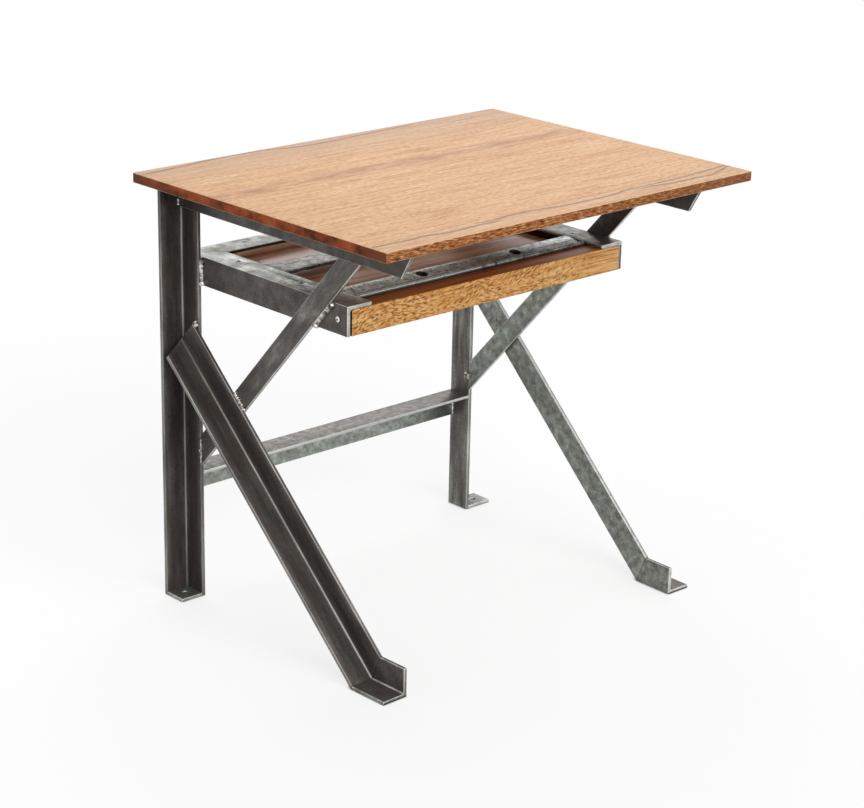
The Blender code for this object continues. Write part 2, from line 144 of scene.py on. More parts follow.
# %% Camera
CAMERA_PLACE = Vector((-2.6137, -2.7859, 1.6907))
CAMERA_YAW = math.radians(42.942)
CAMERA_PITCH = math.radians(19.246)
CAMERA_ROLL = math.radians(-1.171)
FOCAL_LENGTH = 97.629
FILM_WIDTH = 36.0
FARTHEST = 60.0

sight = Vector((math.sin(CAMERA_YAW) * math.cos(CAMERA_PITCH),
                math.cos(CAMERA_YAW) * math.cos(CAMERA_PITCH),
                -math.sin(CAMERA_PITCH)))
level_right = Vector((math.cos(CAMERA_YAW), -math.sin(CAMERA_YAW), 0.0))
level_down = sight.cross(level_right)
right = math.cos(CAMERA_ROLL) * level_right + math.sin(CAMERA_ROLL) * level_down
down = -math.sin(CAMERA_ROLL) * level_right + math.cos(CAMERA_ROLL) * level_down

lens = bpy.data.cameras.new("desk_camera")
lens.lens = FOCAL_LENGTH
lens.sensor_width = FILM_WIDTH
lens.clip_end = FARTHEST
camera = bpy.data.objects.new("desk_camera", lens)
turn = Matrix((right, -down, -sight)).transposed().to_4x4()
camera.matrix_world = Matrix.Translation(CAMERA_PLACE) @ turn
bpy.context.scene.collection.objects.link(camera)
bpy.context.scene.camera = camera
print("camera looks along", [round(v, 3) for v in sight])

# %% [markdown]
# The desk stands in a plain white studio. A soft sun from the front does most of the work, low enough to
# reach the tray under the top, a second one comes over the back and gives the flanges their sheen, and an
# even sky lightens the shadows. Suns light the floor alike everywhere, which lamps close to the desk can't,
# so it stays white to the edge.

# %% Studio light
SKY_LIGHT = 0.46
SKY_WHITE = 1.0
scene = bpy.context.scene
scene.view_settings.view_transform = "Standard"


def seen_directly(tree):
    path = add(tree, "ShaderNodeLightPath")
    seen = path.outputs["Is Camera Ray"]
    for ray in ("Is Glossy Ray", "Is Transmission Ray"):
        seen = add(tree, "ShaderNodeMath", {0: seen, 1: path.outputs[ray]}, operation="MAXIMUM").outputs[0]
    return seen


def soft_sun(name, toward, strength, spread):
    sun = bpy.data.lights.new(name, "SUN")
    sun.energy = strength
    sun.angle = math.radians(spread)
    holder = bpy.data.objects.new(name, sun)
    holder.rotation_euler = Vector(toward).to_track_quat("-Z", "Y").to_euler()
    scene.collection.objects.link(holder)


world = bpy.data.worlds.new("studio")
scene.world = world
world.use_nodes = True
sky = world.node_tree
sky.nodes.clear()
even, white = [add(sky, "ShaderNodeBackground", {"Color": linear("#FFFFFF"), "Strength": strength}).outputs[0]
               for strength in (SKY_LIGHT, SKY_WHITE)]
either = add(sky, "ShaderNodeMixShader", {0: seen_directly(sky), 1: even, 2: white})
add(sky, "ShaderNodeOutputWorld", {0: either.outputs[0]})
soft_sun("front_sun", (0.10, 0.88, -0.48), 1.75, 50.0)
soft_sun("back_sun", (-0.45, -0.60, -0.66), 0.95, 60.0)

# %% [markdown]
# The floor is matt studio paper. To the camera and in reflections part of its white is its own glow, so that
# the desk's shadow stays faint, as on a well lit paper roll. The light that it throws back at the desk is a
# calmer grey.

# %% Studio floor
FLOOR_REACH = 24.0
PAPER_GLOW = 0.75
mesh = bpy.data.meshes.new("studio_floor")
bm = bmesh.new()
bmesh.ops.create_grid(bm, x_segments=1, y_segments=1, size=FLOOR_REACH)
bm.to_mesh(mesh)
bm.free()
floor = bpy.data.objects.new("studio_floor", mesh)
scene.collection.objects.link(floor)

paper, tree, shader = new_finish("studio_paper")
seen = seen_directly(tree)
tint = add(tree, "ShaderNodeMix", {0: seen, 6: linear("#9A9A9A"), 7: linear("#8E8E8E")}, data_type="RGBA")
tree.links.new(tint.outputs[2], shader.inputs["Base Color"])
# Paper that is closely covered, as inside the anchor holes, has no glow
open_sky = add(tree, "ShaderNodeAmbientOcclusion", {"Distance": 12 * MM}, samples=8).outputs["AO"]
open_sky = add(tree, "ShaderNodeMapRange", {0: open_sky, 1: 0.25, 2: 0.75}).outputs[0]
glow = seen
for share in (PAPER_GLOW, open_sky):
    glow = add(tree, "ShaderNodeMath", {0: glow, 1: share}, operation="MULTIPLY").outputs[0]
shader.inputs["Emission Color"].default_value = linear("#FFFFFF")
tree.links.new(glow, shader.inputs["Emission Strength"])
shader.inputs["Roughness"].default_value = 1.0
shader.inputs["Specular IOR Level"].default_value = 0.0
mesh.materials.append(paper)
print("floor laid, glow", PAPER_GLOW)

# %% [markdown]
# The steel of the real desk is hot-rolled angle that keeps its dark mill scale under a coat of wax. Scale is
# a thin black oxide: it looks cloudy, brown in places, with patches where it wore thin and small pits, and
# bare metal shows along every arris that was ground or knocked. One recipe serves all the members, with
# clouds of other sizes for some of them. Each face carries a number, its tone, from 0 for full scale to 1
# for bright metal, that on some faces also holds painted light and shade, and another for bare metal and for
# the painted highlights in the fillets. Near the welds the heat has burnt the scale black.

# %% Heat marks near the welds
# Middles of the marks on the right side, in millimetres; the left side mirrors them
HEAT_MARKS = ((318, 158, 357), (330, 280, 468), (318, 262, 276), (318, 300, 222))
BURNT_INSIDE = 20 * MM
BURNT_OUTSIDE = 48 * MM


def heat_near_welds(tree, place):
    along_x, along_y, along_z = add(tree, "ShaderNodeSeparateXYZ", {0: place}).outputs
    mirrored = add(tree, "ShaderNodeMath", {0: along_x}, operation="ABSOLUTE").outputs[0]
    side = add(tree, "ShaderNodeCombineXYZ", {0: mirrored, 1: along_y, 2: along_z}).outputs[0]
    nearest = None
    for mark in HEAT_MARKS:
        away = add(tree, "ShaderNodeVectorMath", {0: side, 1: [m * MM for m in mark]},
                   operation="DISTANCE").outputs["Value"]
        if nearest is not None:
            away = add(tree, "ShaderNodeMath", {0: away, 1: nearest}, operation="MINIMUM").outputs[0]
        nearest = away
    close = add(tree, "ShaderNodeMapRange", {0: nearest, 1: BURNT_INSIDE, 2: BURNT_OUTSIDE, 3: 1.0, 4: 0.0})
    heat, = numbers_on_faces(tree, "heat")
    return add(tree, "ShaderNodeMath", {0: close.outputs[0], 1: heat}, operation="MULTIPLY").outputs[0]


print("heat marks on each side:", len(HEAT_MARKS))

# %% Finish: waxed mill scale
SCALE_TO_METAL = [(0.0, "#1A1817"), (0.25, "#3B3835"), (0.5, "#66605B"), (0.75, "#8F958D"), (1.0, "#C6C9C5")]


def steel_finish(name, cloud_size, uneven, lean=0.0):
    # Hot-rolled steel, waxed: dark, cloudy and a little glossy, with bright metal where it is rubbed, and
    # painted highlights in the fillets
    material, tree, shader = new_finish(name)
    place = add(tree, "ShaderNodeTexCoord").outputs["Object"]
    tone, wear_and_highlight, margin = numbers_on_faces(tree, "tone", "wear_and_highlight", "margin")
    drawn = add(tree, "ShaderNodeMapping", {0: place, 2: (lean, 0.0, 0.0), 3: [s * MM for s in cloud_size]},
                vector_type="TEXTURE")
    clouds = add(tree, "ShaderNodeTexNoise", {"Vector": drawn.outputs[0], "Scale": 1.0, "Detail": 8.0,
                                              "Roughness": 0.6}).outputs[0]
    # Grit of half a millimetre, drawn at 3 mm so that it shows
    grit = add(tree, "ShaderNodeTexNoise", {"Vector": place, "Scale": 1 / (3 * MM), "Detail": 3.0}).outputs[0]
    margin = add(tree, "ShaderNodeMath", {0: margin, 1: 2.0}, operation="POWER").outputs[0]
    layers = ((clouds, 0.28, 0.72, -uneven, uneven), (margin, 0.0, 1.0, 0.0, 0.2),
              (grit, 0.3, 0.7, -0.07, 0.07))
    bare = tone
    for pattern, start, full, least, most in layers:
        part = add(tree, "ShaderNodeMapRange", {0: pattern, 1: start, 2: full, 3: least, 4: most}).outputs[0]
        bare = add(tree, "ShaderNodeMath", {0: bare, 1: part}, operation="ADD").outputs[0]
    colour = add(tree, "ShaderNodeValToRGB", {0: bare}, stops=SCALE_TO_METAL).outputs[0]
    # Brown stain in fields of 60 mm, only where the scale is whole
    fields = add(tree, "ShaderNodeTexNoise", {"Vector": place, "Scale": 1 / (60 * MM), "Detail": 6.0,
                                              "Roughness": 0.6}).outputs[0]
    brown = add(tree, "ShaderNodeMapRange", {0: fields, 1: 0.46, 2: 0.64, 3: 0.0, 4: 0.55}).outputs[0]
    whole = add(tree, "ShaderNodeMapRange", {0: tone, 1: 0.35, 2: 0.6, 3: 1.0, 4: 0.0}).outputs[0]
    burnt = add(tree, "ShaderNodeMapRange", {0: clouds, 1: 0.36, 2: 0.58, 3: 0.95, 4: 0.5}).outputs[0]
    chips = add(tree, "ShaderNodeMapRange", {0: clouds, 1: 0.34, 2: 0.60, 3: 0.45, 4: 0.95}).outputs[0]
    brown, burnt, bare_and_highlight = [
        add(tree, "ShaderNodeMath", {0: share, 1: limit}, operation="MULTIPLY").outputs[0]
        for share, limit in ((brown, whole), (burnt, heat_near_welds(tree, place)), (chips, wear_and_highlight))]
    # Pits of 2 mm, a few centimetres apart
    cells = add(tree, "ShaderNodeTexVoronoi", {"Vector": place, "Scale": 1 / (19 * MM)}).outputs["Distance"]
    pits = add(tree, "ShaderNodeMapRange", {0: cells, 1: 0.05, 2: 0.11, 3: 0.8, 4: 0.0}).outputs[0]
    for share, tint in ((brown, "#46382F"), (burnt, "#211F20"), (pits, "#292623"), (bare_and_highlight, "#D9D6D1")):
        colour = add(tree, "ShaderNodeMix", {0: share, 6: colour, 7: linear(tint)},
                     data_type="RGBA").outputs[2]
    metal = add(tree, "ShaderNodeMath", {0: bare, 1: bare_and_highlight}, operation="MAXIMUM").outputs[0]
    metal = add(tree, "ShaderNodeMapRange", {0: metal, 1: 0.25, 2: 0.8, 3: 0.2, 4: 0.92})
    tree.links.new(metal.outputs[0], shader.inputs["Metallic"])
    height = add(tree, "ShaderNodeMath", {0: clouds, 1: grit}, operation="ADD").outputs[0]
    height = add(tree, "ShaderNodeMath", {0: height, 1: pits}, operation="SUBTRACT").outputs[0]
    close_finish(tree, shader, colour, clouds, 0.52, 0.34, height, 0.3, 0.4 * MM)
    return material


LEG_SLOPE = math.radians(43.3)
BRACE_SLOPE = math.radians(47.6)
mill_scale = steel_finish("hot_rolled_steel_waxed", (24, 24, 24), 0.17)
even_scale = steel_finish("hot_rolled_steel_waxed_even", (13, 13, 13), 0.15)
# On long members the clouds are drawn out along the way the steel was rolled
post_scale = steel_finish("hot_rolled_steel_waxed_upright", (13, 13, 110), 0.22)
leg_scale = steel_finish("hot_rolled_steel_waxed_rising", (13, 110, 15), 0.24, LEG_SLOPE)
brace_scale = steel_finish("hot_rolled_steel_waxed_falling", (16, 60, 18), 0.2, -BRACE_SLOPE)
MEMBER_FINISH = {
    "left_post": post_scale, "right_post": post_scale, "left_leg": leg_scale, "left_brace": brace_scale,
    "right_leg": even_scale, "right_leg_foot": even_scale, "right_brace": even_scale, "stretcher": even_scale,
}
print("steel finishes:", sorted({finish.name for finish in MEMBER_FINISH.values()} | {mill_scale.name}))

# %% [markdown]
# Each steel member is a merged copy of its solid, with a small round along every sharp outer edge. A bevel
# modifier could do that too, but here the rounds must be known by name: the faces that the bevel makes carry
# a number for wear and highlights, and the finish lays bare metal there, broken up as real wear is. On the
# wooden top the same number gives the arrises a painted highlight.

# %% Helpers for dressed copies of the solids
EDGE_ANGLE = math.radians(40.0)
FLAT_ANGLE = math.radians(0.4)
SAME_POINT = 0.001 * MM
SLIVER = 0.01 * MM


def merged_copy(node):
    bm = bmesh.new()
    bm.from_mesh(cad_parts[node].data)
    for number in ("wear_and_highlight", "tone", "heat"):
        bm.faces.layers.float.new(number)
    bmesh.ops.remove_doubles(bm, verts=bm.verts[:], dist=SAME_POINT)
    bmesh.ops.dissolve_limit(bm, angle_limit=FLAT_ANGLE, verts=bm.verts[:], edges=bm.edges[:])
    return bm


def round_edges(bm, edges, offset, segments=2):
    made = bmesh.ops.bevel(bm, geom=edges, offset=offset, offset_type="OFFSET", affect="EDGES",
                           segments=segments, profile=0.5, material=-1, clamp_overlap=False)
    wear_and_highlight = bm.faces.layers.float["wear_and_highlight"]
    for face in made["faces"]:
        face[wear_and_highlight] = 1.0
    bmesh.ops.dissolve_degenerate(bm, dist=SLIVER, edges=bm.edges[:])
    return len(edges)


def outer_edges(bm):
    return [e for e in bm.edges if e.is_manifold and e.calc_face_angle_signed(0.0) > EDGE_ANGLE]


def slice_across(bm, point, normal):
    bmesh.ops.bisect_plane(bm, geom=bm.verts[:] + bm.edges[:] + bm.faces[:], plane_co=point, plane_no=normal)
    bmesh.ops.dissolve_degenerate(bm, dist=SLIVER, edges=bm.edges[:])


def finish_piece(bm, name, material, nodes=()):
    mesh = bpy.data.meshes.new(name)
    for face in bm.faces:
        face.smooth = True
    bm.to_mesh(mesh)
    bm.free()
    mesh.set_sharp_from_angle(angle=EDGE_ANGLE)
    mesh.materials.append(material)
    piece = bpy.data.objects.new(name, mesh)
    scene.collection.objects.link(piece)
    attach(piece, "root")
    if nodes:
        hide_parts(*nodes)


print("edges sharper than", round(math.degrees(EDGE_ANGLE)), "degrees are rounded")

# %% [markdown]
# How bare each member is was judged: the left post and leg are nearly black, and the braces and the right
# side are greyer. Upward faces carry painted light of their own, and the flanges that lie on top of the tray
# are palest, a painted sheen. Sawn ends and narrow edges come out brighter than the wide faces, and the thin
# fillets inside each angle carry a painted highlight.

# %% Tones of the steel members
MEMBER_TONE = {
    "left_post": 0.27, "left_post_foot": 0.42, "left_leg": 0.30, "left_leg_foot": 0.33, "left_brace": 0.48,
    "left_top_rail": 0.35, "tray_left_rail": 0.38, "tray_rear_rail": 0.30, "tray_right_rail": 0.42,
    "stretcher": 0.75, "right_post": 0.48, "right_post_foot": 0.55, "right_leg": 0.66, "right_leg_foot": 0.63,
    "right_brace": 0.67, "right_top_rail": 0.26,
}
# Tones of the upward faces, painted light and shade; the tray's flanges get a painted sheen
TOP_FACE_LIGHT_TONE = {
    "tray_left_rail": 0.75, "tray_rear_rail": 0.66, "tray_right_rail": 0.62, "stretcher": 0.50,
    "left_post_foot": 0.60, "right_post_foot": 0.56, "left_leg_foot": 0.40, "right_leg_foot": 0.44,
}
# A point, a direction and the tone of the wide upper faces, or of a brace's faces, beyond that plane: painted
# light on the front of the left tray rail's flange, and painted shade under the top on the front of the right
# tray rail's flange and on the upper part of the right brace
LIGHT_AND_SHADE_PART = {
    "tray_left_rail": (Vector((0.0, -0.045, 0.0)), Vector((0.0, -1.0, 0.0)), 0.90),
    "tray_right_rail": (Vector((0.0, -0.020, 0.0)), Vector((0.0, -1.0, 0.0)), 0.48),
    "right_brace": (Vector((0.0, 0.0, 0.615)), Vector((0.0, 0.0, 1.0)), 0.30),
}
# The tray's side rails were sawn off at the front; the right one's sawn end is darker below the flange
SAWN_END_TONE = 0.88
DARK_LOWER_END_TONE = 0.42
FLANGE_DEPTH = 6.8 * MM
# The front edge of the rear rail's flange gets painted shade
SHADED_EDGE_TONE = 0.05
NARROW_GAIN = 0.30
# The painted highlight in the middle of a fillet, the same in a post, and on the rims of a fillet
FILLET_HIGHLIGHT = 0.85
POST_FILLET_HIGHLIGHT = 0.5
FILLET_RIM_HIGHLIGHT = 0.25
print("members with a tone of their own on top:", len(TOP_FACE_LIGHT_TONE))

# %% Helpers that tell the faces of an angle apart
FILLET_WIDTH = 1.9 * MM
NARROW_WIDTH = 13.0 * MM
# A face looks a way when its normal has this much of it
LOOKS = 0.9
# An edge is a long side from this share of the longest one, and a fold from this angle
LONG_SIDE = 0.6
FOLD = math.radians(10)


def long_sides(face):
    longest = max(e.calc_length() for e in face.edges)
    return [e for e in face.edges if e.calc_length() > LONG_SIDE * longest], longest


def face_width(face):
    sides, longest = long_sides(face)
    folded = all(e.is_manifold and e.calc_face_angle(0.0) > FOLD for e in sides)
    return face.calc_area() / longest if folded else longest


def on_rail_wall(face, node):
    levels = [v.co.z for v in face.verts]
    tall = max(levels) - min(levels) > NARROW_WIDTH
    return node.startswith("tray") and abs(face.normal.x) > LOOKS and tall


def in_mid_fillet(face):
    beside = [f for e in long_sides(face)[0] for f in e.link_faces]
    return all(face_width(f) < FILLET_WIDTH for f in beside)


print("a face under", NARROW_WIDTH / MM, "mm is an edge, and one under", FILLET_WIDTH / MM, "mm a fillet")

# %% Paint the tones on the faces
def paint_steel(bm, node):
    tone, wear_and_highlight, heat = [bm.faces.layers.float[number] for number in ("tone", "wear_and_highlight", "heat")]
    base = MEMBER_TONE[node]
    point, beyond, light_and_shade_tone = LIGHT_AND_SHADE_PART.get(node, (Vector(), Vector(), base))
    under_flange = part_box(node)[1].z - FLANGE_DEPTH
    for face in bm.faces:
        width = 1.0 if on_rail_wall(face, node) else face_width(face)
        looks_up = face.normal.z > LOOKS
        looks_ahead = node.startswith("tray") and face.normal.y < -LOOKS
        face[tone] = base
        face[heat] = 1.0 if node.endswith(("_leg", "_post")) else 0.0
        if looks_ahead and node == "tray_rear_rail":
            face[tone] = SHADED_EDGE_TONE
        # Fillets get a painted highlight
        elif face[wear_and_highlight] == 0.0 and width < FILLET_WIDTH:
            rub_and_highlight = POST_FILLET_HIGHLIGHT if node.endswith("_post") else FILLET_HIGHLIGHT
            face[wear_and_highlight] = rub_and_highlight if in_mid_fillet(face) else FILLET_RIM_HIGHLIGHT
        # Upward faces get their painted light
        elif looks_up:
            face[tone] = TOP_FACE_LIGHT_TONE.get(node, base)
        elif looks_ahead:
            lower_right_end = "right" in node and face.calc_center_median().z < under_flange
            face[tone] = DARK_LOWER_END_TONE if lower_right_end else SAWN_END_TONE
        elif width < NARROW_WIDTH:
            face[tone] = base + NARROW_GAIN
        # Beyond the plane, the faces take their painted light and shade
        wide_open = width > NARROW_WIDTH and (looks_up or node.endswith("_brace"))
        if wide_open and (face.calc_center_median() - point).dot(beyond) > 0.0:
            face[tone] = light_and_shade_tone


print("members to paint:", len(MEMBER_TONE))

# %% [markdown]
# Two more marks follow. On the posts and the left leg each long flat is lighter beside its arrises, so each
# flat is inset and a number fades from its rim inwards. And where a sloping leg meets its foot, the mitre
# shows as a dark seam, so a thin slice beside that cut is painted black.

# %% Worn margins and dark seams
LIGHT_RIM_MEMBERS = ("left_post", "left_leg", "right_post")
FLAT_AREA = 0.006
MARGIN = 14 * MM
SEAM = 0.8 * MM
# The mitre between a sloping leg and its foot halves the angle between them
LEG_RUN = Vector((0.0, math.cos(LEG_SLOPE), math.sin(LEG_SLOPE)))
MITRE_NORMAL = (LEG_RUN + Vector((0.0, 1.0, 0.0))).normalized()
ON_MITRE = 0.99
ON_LEG_END = 0.7


def lighten_rims(bm):
    margin = bm.verts.layers.float.new("margin")
    flats = [f for f in bm.faces if f.calc_area() > FLAT_AREA and face_width(f) > NARROW_WIDTH]
    rims = {v for f in flats for v in f.verts}
    bmesh.ops.inset_individual(bm, faces=flats, thickness=MARGIN, use_even_offset=True)
    for vert in rims:
        vert[margin] = 1.0


def on_mitre(face):
    return abs(face.normal.dot(MITRE_NORMAL)) > ON_MITRE


def is_cut(face):
    return on_mitre(face) or face.normal.dot(LEG_RUN) > ON_LEG_END


def darken_seam(bm):
    mitre = [f for f in bm.faces if on_mitre(f)][0]
    normal = mitre.normal.copy()
    line = mitre.calc_center_median() - normal * SEAM
    slice_across(bm, line, normal)
    for face in bm.faces:
        if (face.calc_center_median() - line).dot(normal) > 0.0:
            face[bm.faces.layers.float["tone"]] = 0.0
            face[bm.faces.layers.float["wear_and_highlight"]] = 0.0


print("members with worn margins:", LIGHT_RIM_MEMBERS)

# %% Dress the steel members
STEEL_EDGE = 0.9 * MM


def steel_member(node):
    bm = merged_copy(node)
    sloping = node.endswith(("_leg", "_leg_foot"))
    kept = [e for e in outer_edges(bm) if not (sloping and any(is_cut(f) for f in e.link_faces))]
    rounded = round_edges(bm, kept, STEEL_EDGE)
    if node in LIGHT_AND_SHADE_PART:
        slice_across(bm, *LIGHT_AND_SHADE_PART[node][:2])
    if node == "tray_right_rail":
        slice_across(bm, (0.0, 0.0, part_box(node)[1].z - FLANGE_DEPTH), (0.0, 0.0, 1.0))
    bm.normal_update()
    paint_steel(bm, node)
    if node in LIGHT_RIM_MEMBERS:
        lighten_rims(bm)
    if sloping:
        darken_seam(bm)
    finish_piece(bm, node + "_dressed", MEMBER_FINISH.get(node, mill_scale), (node,))
    return rounded


edges = sum(steel_member(node) for node in MEMBER_TONE)
print("steel members:", len(MEMBER_TONE), "with", edges, "rounded edges")

# %% [markdown]
# The tray carries two flat bars of old plate, pitted by rust before they were cleaned. The one across the
# middle was cut with a torch, so its long edges wander and its left end flares out. The finish pulls small
# round dents into the surface with a cell pattern, and leaves the burnt edges dark.

# %% Finish: pitted plate
# Tints of the plate, and paler ones for the painted light towards the front bar's ends
CLOUD_STEPS = (0.32, 0.45, 0.56, 0.72)
RUSTED_TINTS = ("#5A5853", "#8E8D87", "#B7B8B1", "#DADBD8")
PALE_TINTS = ("#868E8E", "#C0CCCC", "#E8F2F2", "#FAFFFF")
pitted, tree, shader = new_finish("old_plate_pitted")
# Old rusted plate, wire-brushed and waxed: grey and blotched, with dark pits of 2 to 5 mm and bright rims;
# paler where painted light lies and near black where painted shade lies
place = add(tree, "ShaderNodeTexCoord").outputs["Object"]
tone, wear_and_highlight, pale_ends = numbers_on_faces(tree, "tone", "wear_and_highlight", "pale_ends")
clouds = add(tree, "ShaderNodeTexNoise", {"Vector": place, "Scale": 1 / (13 * MM), "Detail": 8.0,
                                          "Roughness": 0.74}).outputs[0]
cells = add(tree, "ShaderNodeTexVoronoi", {"Vector": place, "Scale": 1 / (8 * MM)}).outputs["Distance"]
pits = add(tree, "ShaderNodeMapRange", {0: cells, 1: 0.12, 2: 0.34}).outputs[0]
rusted, pale_colour = [
    add(tree, "ShaderNodeValToRGB", {0: clouds}, stops=list(zip(CLOUD_STEPS, tints))).outputs[0]
    for tints in (RUSTED_TINTS, PALE_TINTS)]
bare_and_highlight = add(tree, "ShaderNodeMapRange", {0: clouds, 1: 0.42, 2: 0.54})
bare_and_highlight = add(tree, "ShaderNodeMath", {0: bare_and_highlight.outputs[0], 1: wear_and_highlight}, operation="MULTIPLY").outputs[0]
colour = add(tree, "ShaderNodeMix", {0: pale_ends, 6: rusted, 7: pale_colour}, data_type="RGBA").outputs[2]
# A low tone paints shade, near black
for share, tint in ((pits, "#3C3935"), (tone, "#0E0C0B")):
    colour = add(tree, "ShaderNodeMix", {0: share, 6: linear(tint), 7: colour}, data_type="RGBA").outputs[2]
colour = add(tree, "ShaderNodeMix", {0: bare_and_highlight, 6: colour, 7: linear("#BCC3C4")}, data_type="RGBA").outputs[2]
bare = add(tree, "ShaderNodeMapRange", {0: bare_and_highlight, 3: 0.5, 4: 0.65})
tree.links.new(bare.outputs[0], shader.inputs["Metallic"])
shader.inputs["Specular IOR Level"].default_value = 0.2
height = add(tree, "ShaderNodeMath", {0: clouds, 1: pits}, operation="ADD").outputs[0]
close_finish(tree, shader, colour, clouds, 0.48, 0.26, height, 0.7, 0.8 * MM)
print("finish:", pitted.name)

# %% Torch-cut middle bar
CUTS_ALONG = 150
CUTS_ACROSS = 9
EDGE_WANDER = 1.8 * MM
FLARE = 5.0 * MM
FLARE_LENGTH = 26 * MM
DENT = 0.8 * MM
RIM_DROP = 0.9 * MM
RIM_SHARE = 0.75
BURNT_RIM_SHARE = 0.8
# Waves and nicks of the burnt edges and dents of the face, as counts in one metre
WAVES = 70
NICKS = 260
DENTS = 160
CUT_TONE = 0.25
PLATE_TONE = 0.85
RIM_BURN = 0.6
END_BURN = 0.75
UPPER_FACE = 0.6
low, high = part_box("tray_middle_bar")
middle = (low + high) / 2
span = high - low
bm = bmesh.new()
tone = bm.faces.layers.float.new("tone")
bmesh.ops.create_cube(bm, size=1.0, matrix=Matrix.Translation(middle) @ Matrix.Diagonal((*span, 1.0)))
along = [e for e in bm.edges if abs((e.verts[0].co - e.verts[1].co).x) > span.x / 2]
bmesh.ops.subdivide_edges(bm, edges=along, cuts=CUTS_ALONG, use_grid_fill=True)
across = [e for e in bm.edges if abs((e.verts[0].co - e.verts[1].co).y) > span.y / 2]
bmesh.ops.subdivide_edges(bm, edges=across, cuts=CUTS_ACROSS, use_grid_fill=True)
for vert in bm.verts:
    share = (vert.co.y - middle.y) / (span.y / 2)
    wander = noise.noise(Vector((vert.co.x * WAVES, share * 3, 2.0))) + 0.8 * noise.noise(vert.co * NICKS)
    flare = max(0.0, 1.0 - (vert.co.x - low.x) / FLARE_LENGTH)
    vert.co.y += share * abs(share) * (EDGE_WANDER * wander + FLARE * flare * flare)
    if vert.co.z > middle.z:
        rim = max(0.0, abs(share) - RIM_SHARE) / (1.0 - RIM_SHARE)
        vert.co.z += min(0.0, DENT * noise.noise(vert.co * DENTS) - RIM_DROP * rim)
bm.normal_update()
for face in bm.faces:
    place = face.calc_center_median()
    rim = max(0.0, abs(place.y - middle.y) / (span.y / 2) - BURNT_RIM_SHARE) / (1.0 - BURNT_RIM_SHARE)
    burnt_end = max(0.0, 1.0 - (place.x - low.x) / FLARE_LENGTH)
    plate_tone = PLATE_TONE - RIM_BURN * rim - END_BURN * burnt_end
    face[tone] = CUT_TONE if face.normal.z < UPPER_FACE else plate_tone
finish_piece(bm, "tray_middle_bar_dressed", pitted, ("tray_middle_bar",))
print("middle bar spans", [round(v, 4) for v in span])

# %% [markdown]
# The bar at the front has two round holes. It is old rolled stock: its upper face falls away past the holes
# to a crease, which gets painted shade, and a round lip runs along its front. The solid is flat there, so it
# is sliced at a few distances from its front edge, and the corners of each slice are let down. The lip
# carries a painted highlight, so it is brightest.

# %% Shape of the front bar
LIP_ROUND = 2.6 * MM
BAR_EDGE = 1.0 * MM
AT_EDGE = 0.1 * MM
LONG_EDGE = 20 * MM
# Distance behind the front edge and depth below the top, in millimetres
FALL = ((0.0, 0.8), (2.6, 0.0), (5.0, 0.2), (7.0, 2.8), (10.0, 3.8), (16.0, 3.4), (26.0, 1.4), (38.0, 0.0),
        (60.0, 0.0))
CREASE = (5.0, 13.5)
# Only what lies this close under the top is let down
FALL_REACH = 2.8 * MM
# Width of the gap at each end of the bar, painted as shade
END_GAP_SHADE = 2.6 * MM
LUMP_STEP = 9 * MM
# Height of the lip's lumps in millimetres, and their count in one metre
LUMP = 0.5
LUMPS = 130
low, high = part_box("tray_front_bar")
bm = merged_copy("tray_front_bar")
lip = [e for e in bm.edges if all(v.co.y < low.y + AT_EDGE and v.co.z > high.z - AT_EDGE for v in e.verts)]
round_edges(bm, lip, LIP_ROUND, 3)
rest = [e for e in outer_edges(bm) if e.calc_length() > LONG_EDGE or e.verts[0].co.z > high.z - AT_EDGE]
rounded = round_edges(bm, rest, BAR_EDGE)
for behind, _ in FALL[1:-1]:
    slice_across(bm, (0.0, low.y + behind * MM, 0.0), (0.0, 1.0, 0.0))
steps = int((high.x - low.x) / LUMP_STEP)
cuts = [low.x + END_GAP_SHADE, high.x - END_GAP_SHADE]
cuts += [low.x + LUMP_STEP * step for step in range(1, steps + 1)]
for cut in cuts:
    slice_across(bm, (cut, 0.0, 0.0), (1.0, 0.0, 0.0))
for vert in bm.verts:
    behind = (vert.co.y - low.y) / MM
    for (near, near_depth), (far, far_depth) in zip(FALL, FALL[1:]):
        if near <= behind < far and vert.co.z > high.z - FALL_REACH:
            depth = near_depth + (far_depth - near_depth) * (behind - near) / (far - near)
            lump = LUMP * max(0.0, noise.noise(vert.co * LUMPS)) if behind < CREASE[0] else 0.0
            vert.co.z -= (depth + lump) * MM
            break
bm.normal_update()
print("front bar:", len(lip), "lip edges and", rounded, "others")

# %% [markdown]
# Both ends of this bar are painted paler and lighter than its middle, and at the left end, under the top,
# that is painted light. The front half of its right part is darker. The crease, the underside, the holes and
# the gaps at its ends get painted shade, and so does the lip's front face. All of that is painted on the
# faces, in shares that fade along the bar, and the finish does the rest.

# %% Soot and polish of the front bar
# Where the darker middle lies, and how far from it the darkening ends and the paler ends start and are full
DARK_MIDDLE_PLACE = 45 * MM
DARK_MIDDLE_REACH = 60 * MM
PALE_START = 15 * MM
PALE_FADE = 100 * MM
# To the right of this place the front part, so many millimetres deep, is darker
DARK_FRONT_FROM = 60 * MM
DARK_FRONT_FADE = 40 * MM
DARK_FRONT_DEPTH = 22.0
HOLE_ZONE = (15.0, 45.0)
MIDDLE_TONE = 0.75
END_LIGHT_GAIN = 0.25
DARK_FRONT_LOSS = 0.5
# Tones of painted shade: on the lip's front face, and darker in the holes, crease, underside and end gaps
SHADED_FRONT_TONE = 0.3
SHADE_TONE = 0.05
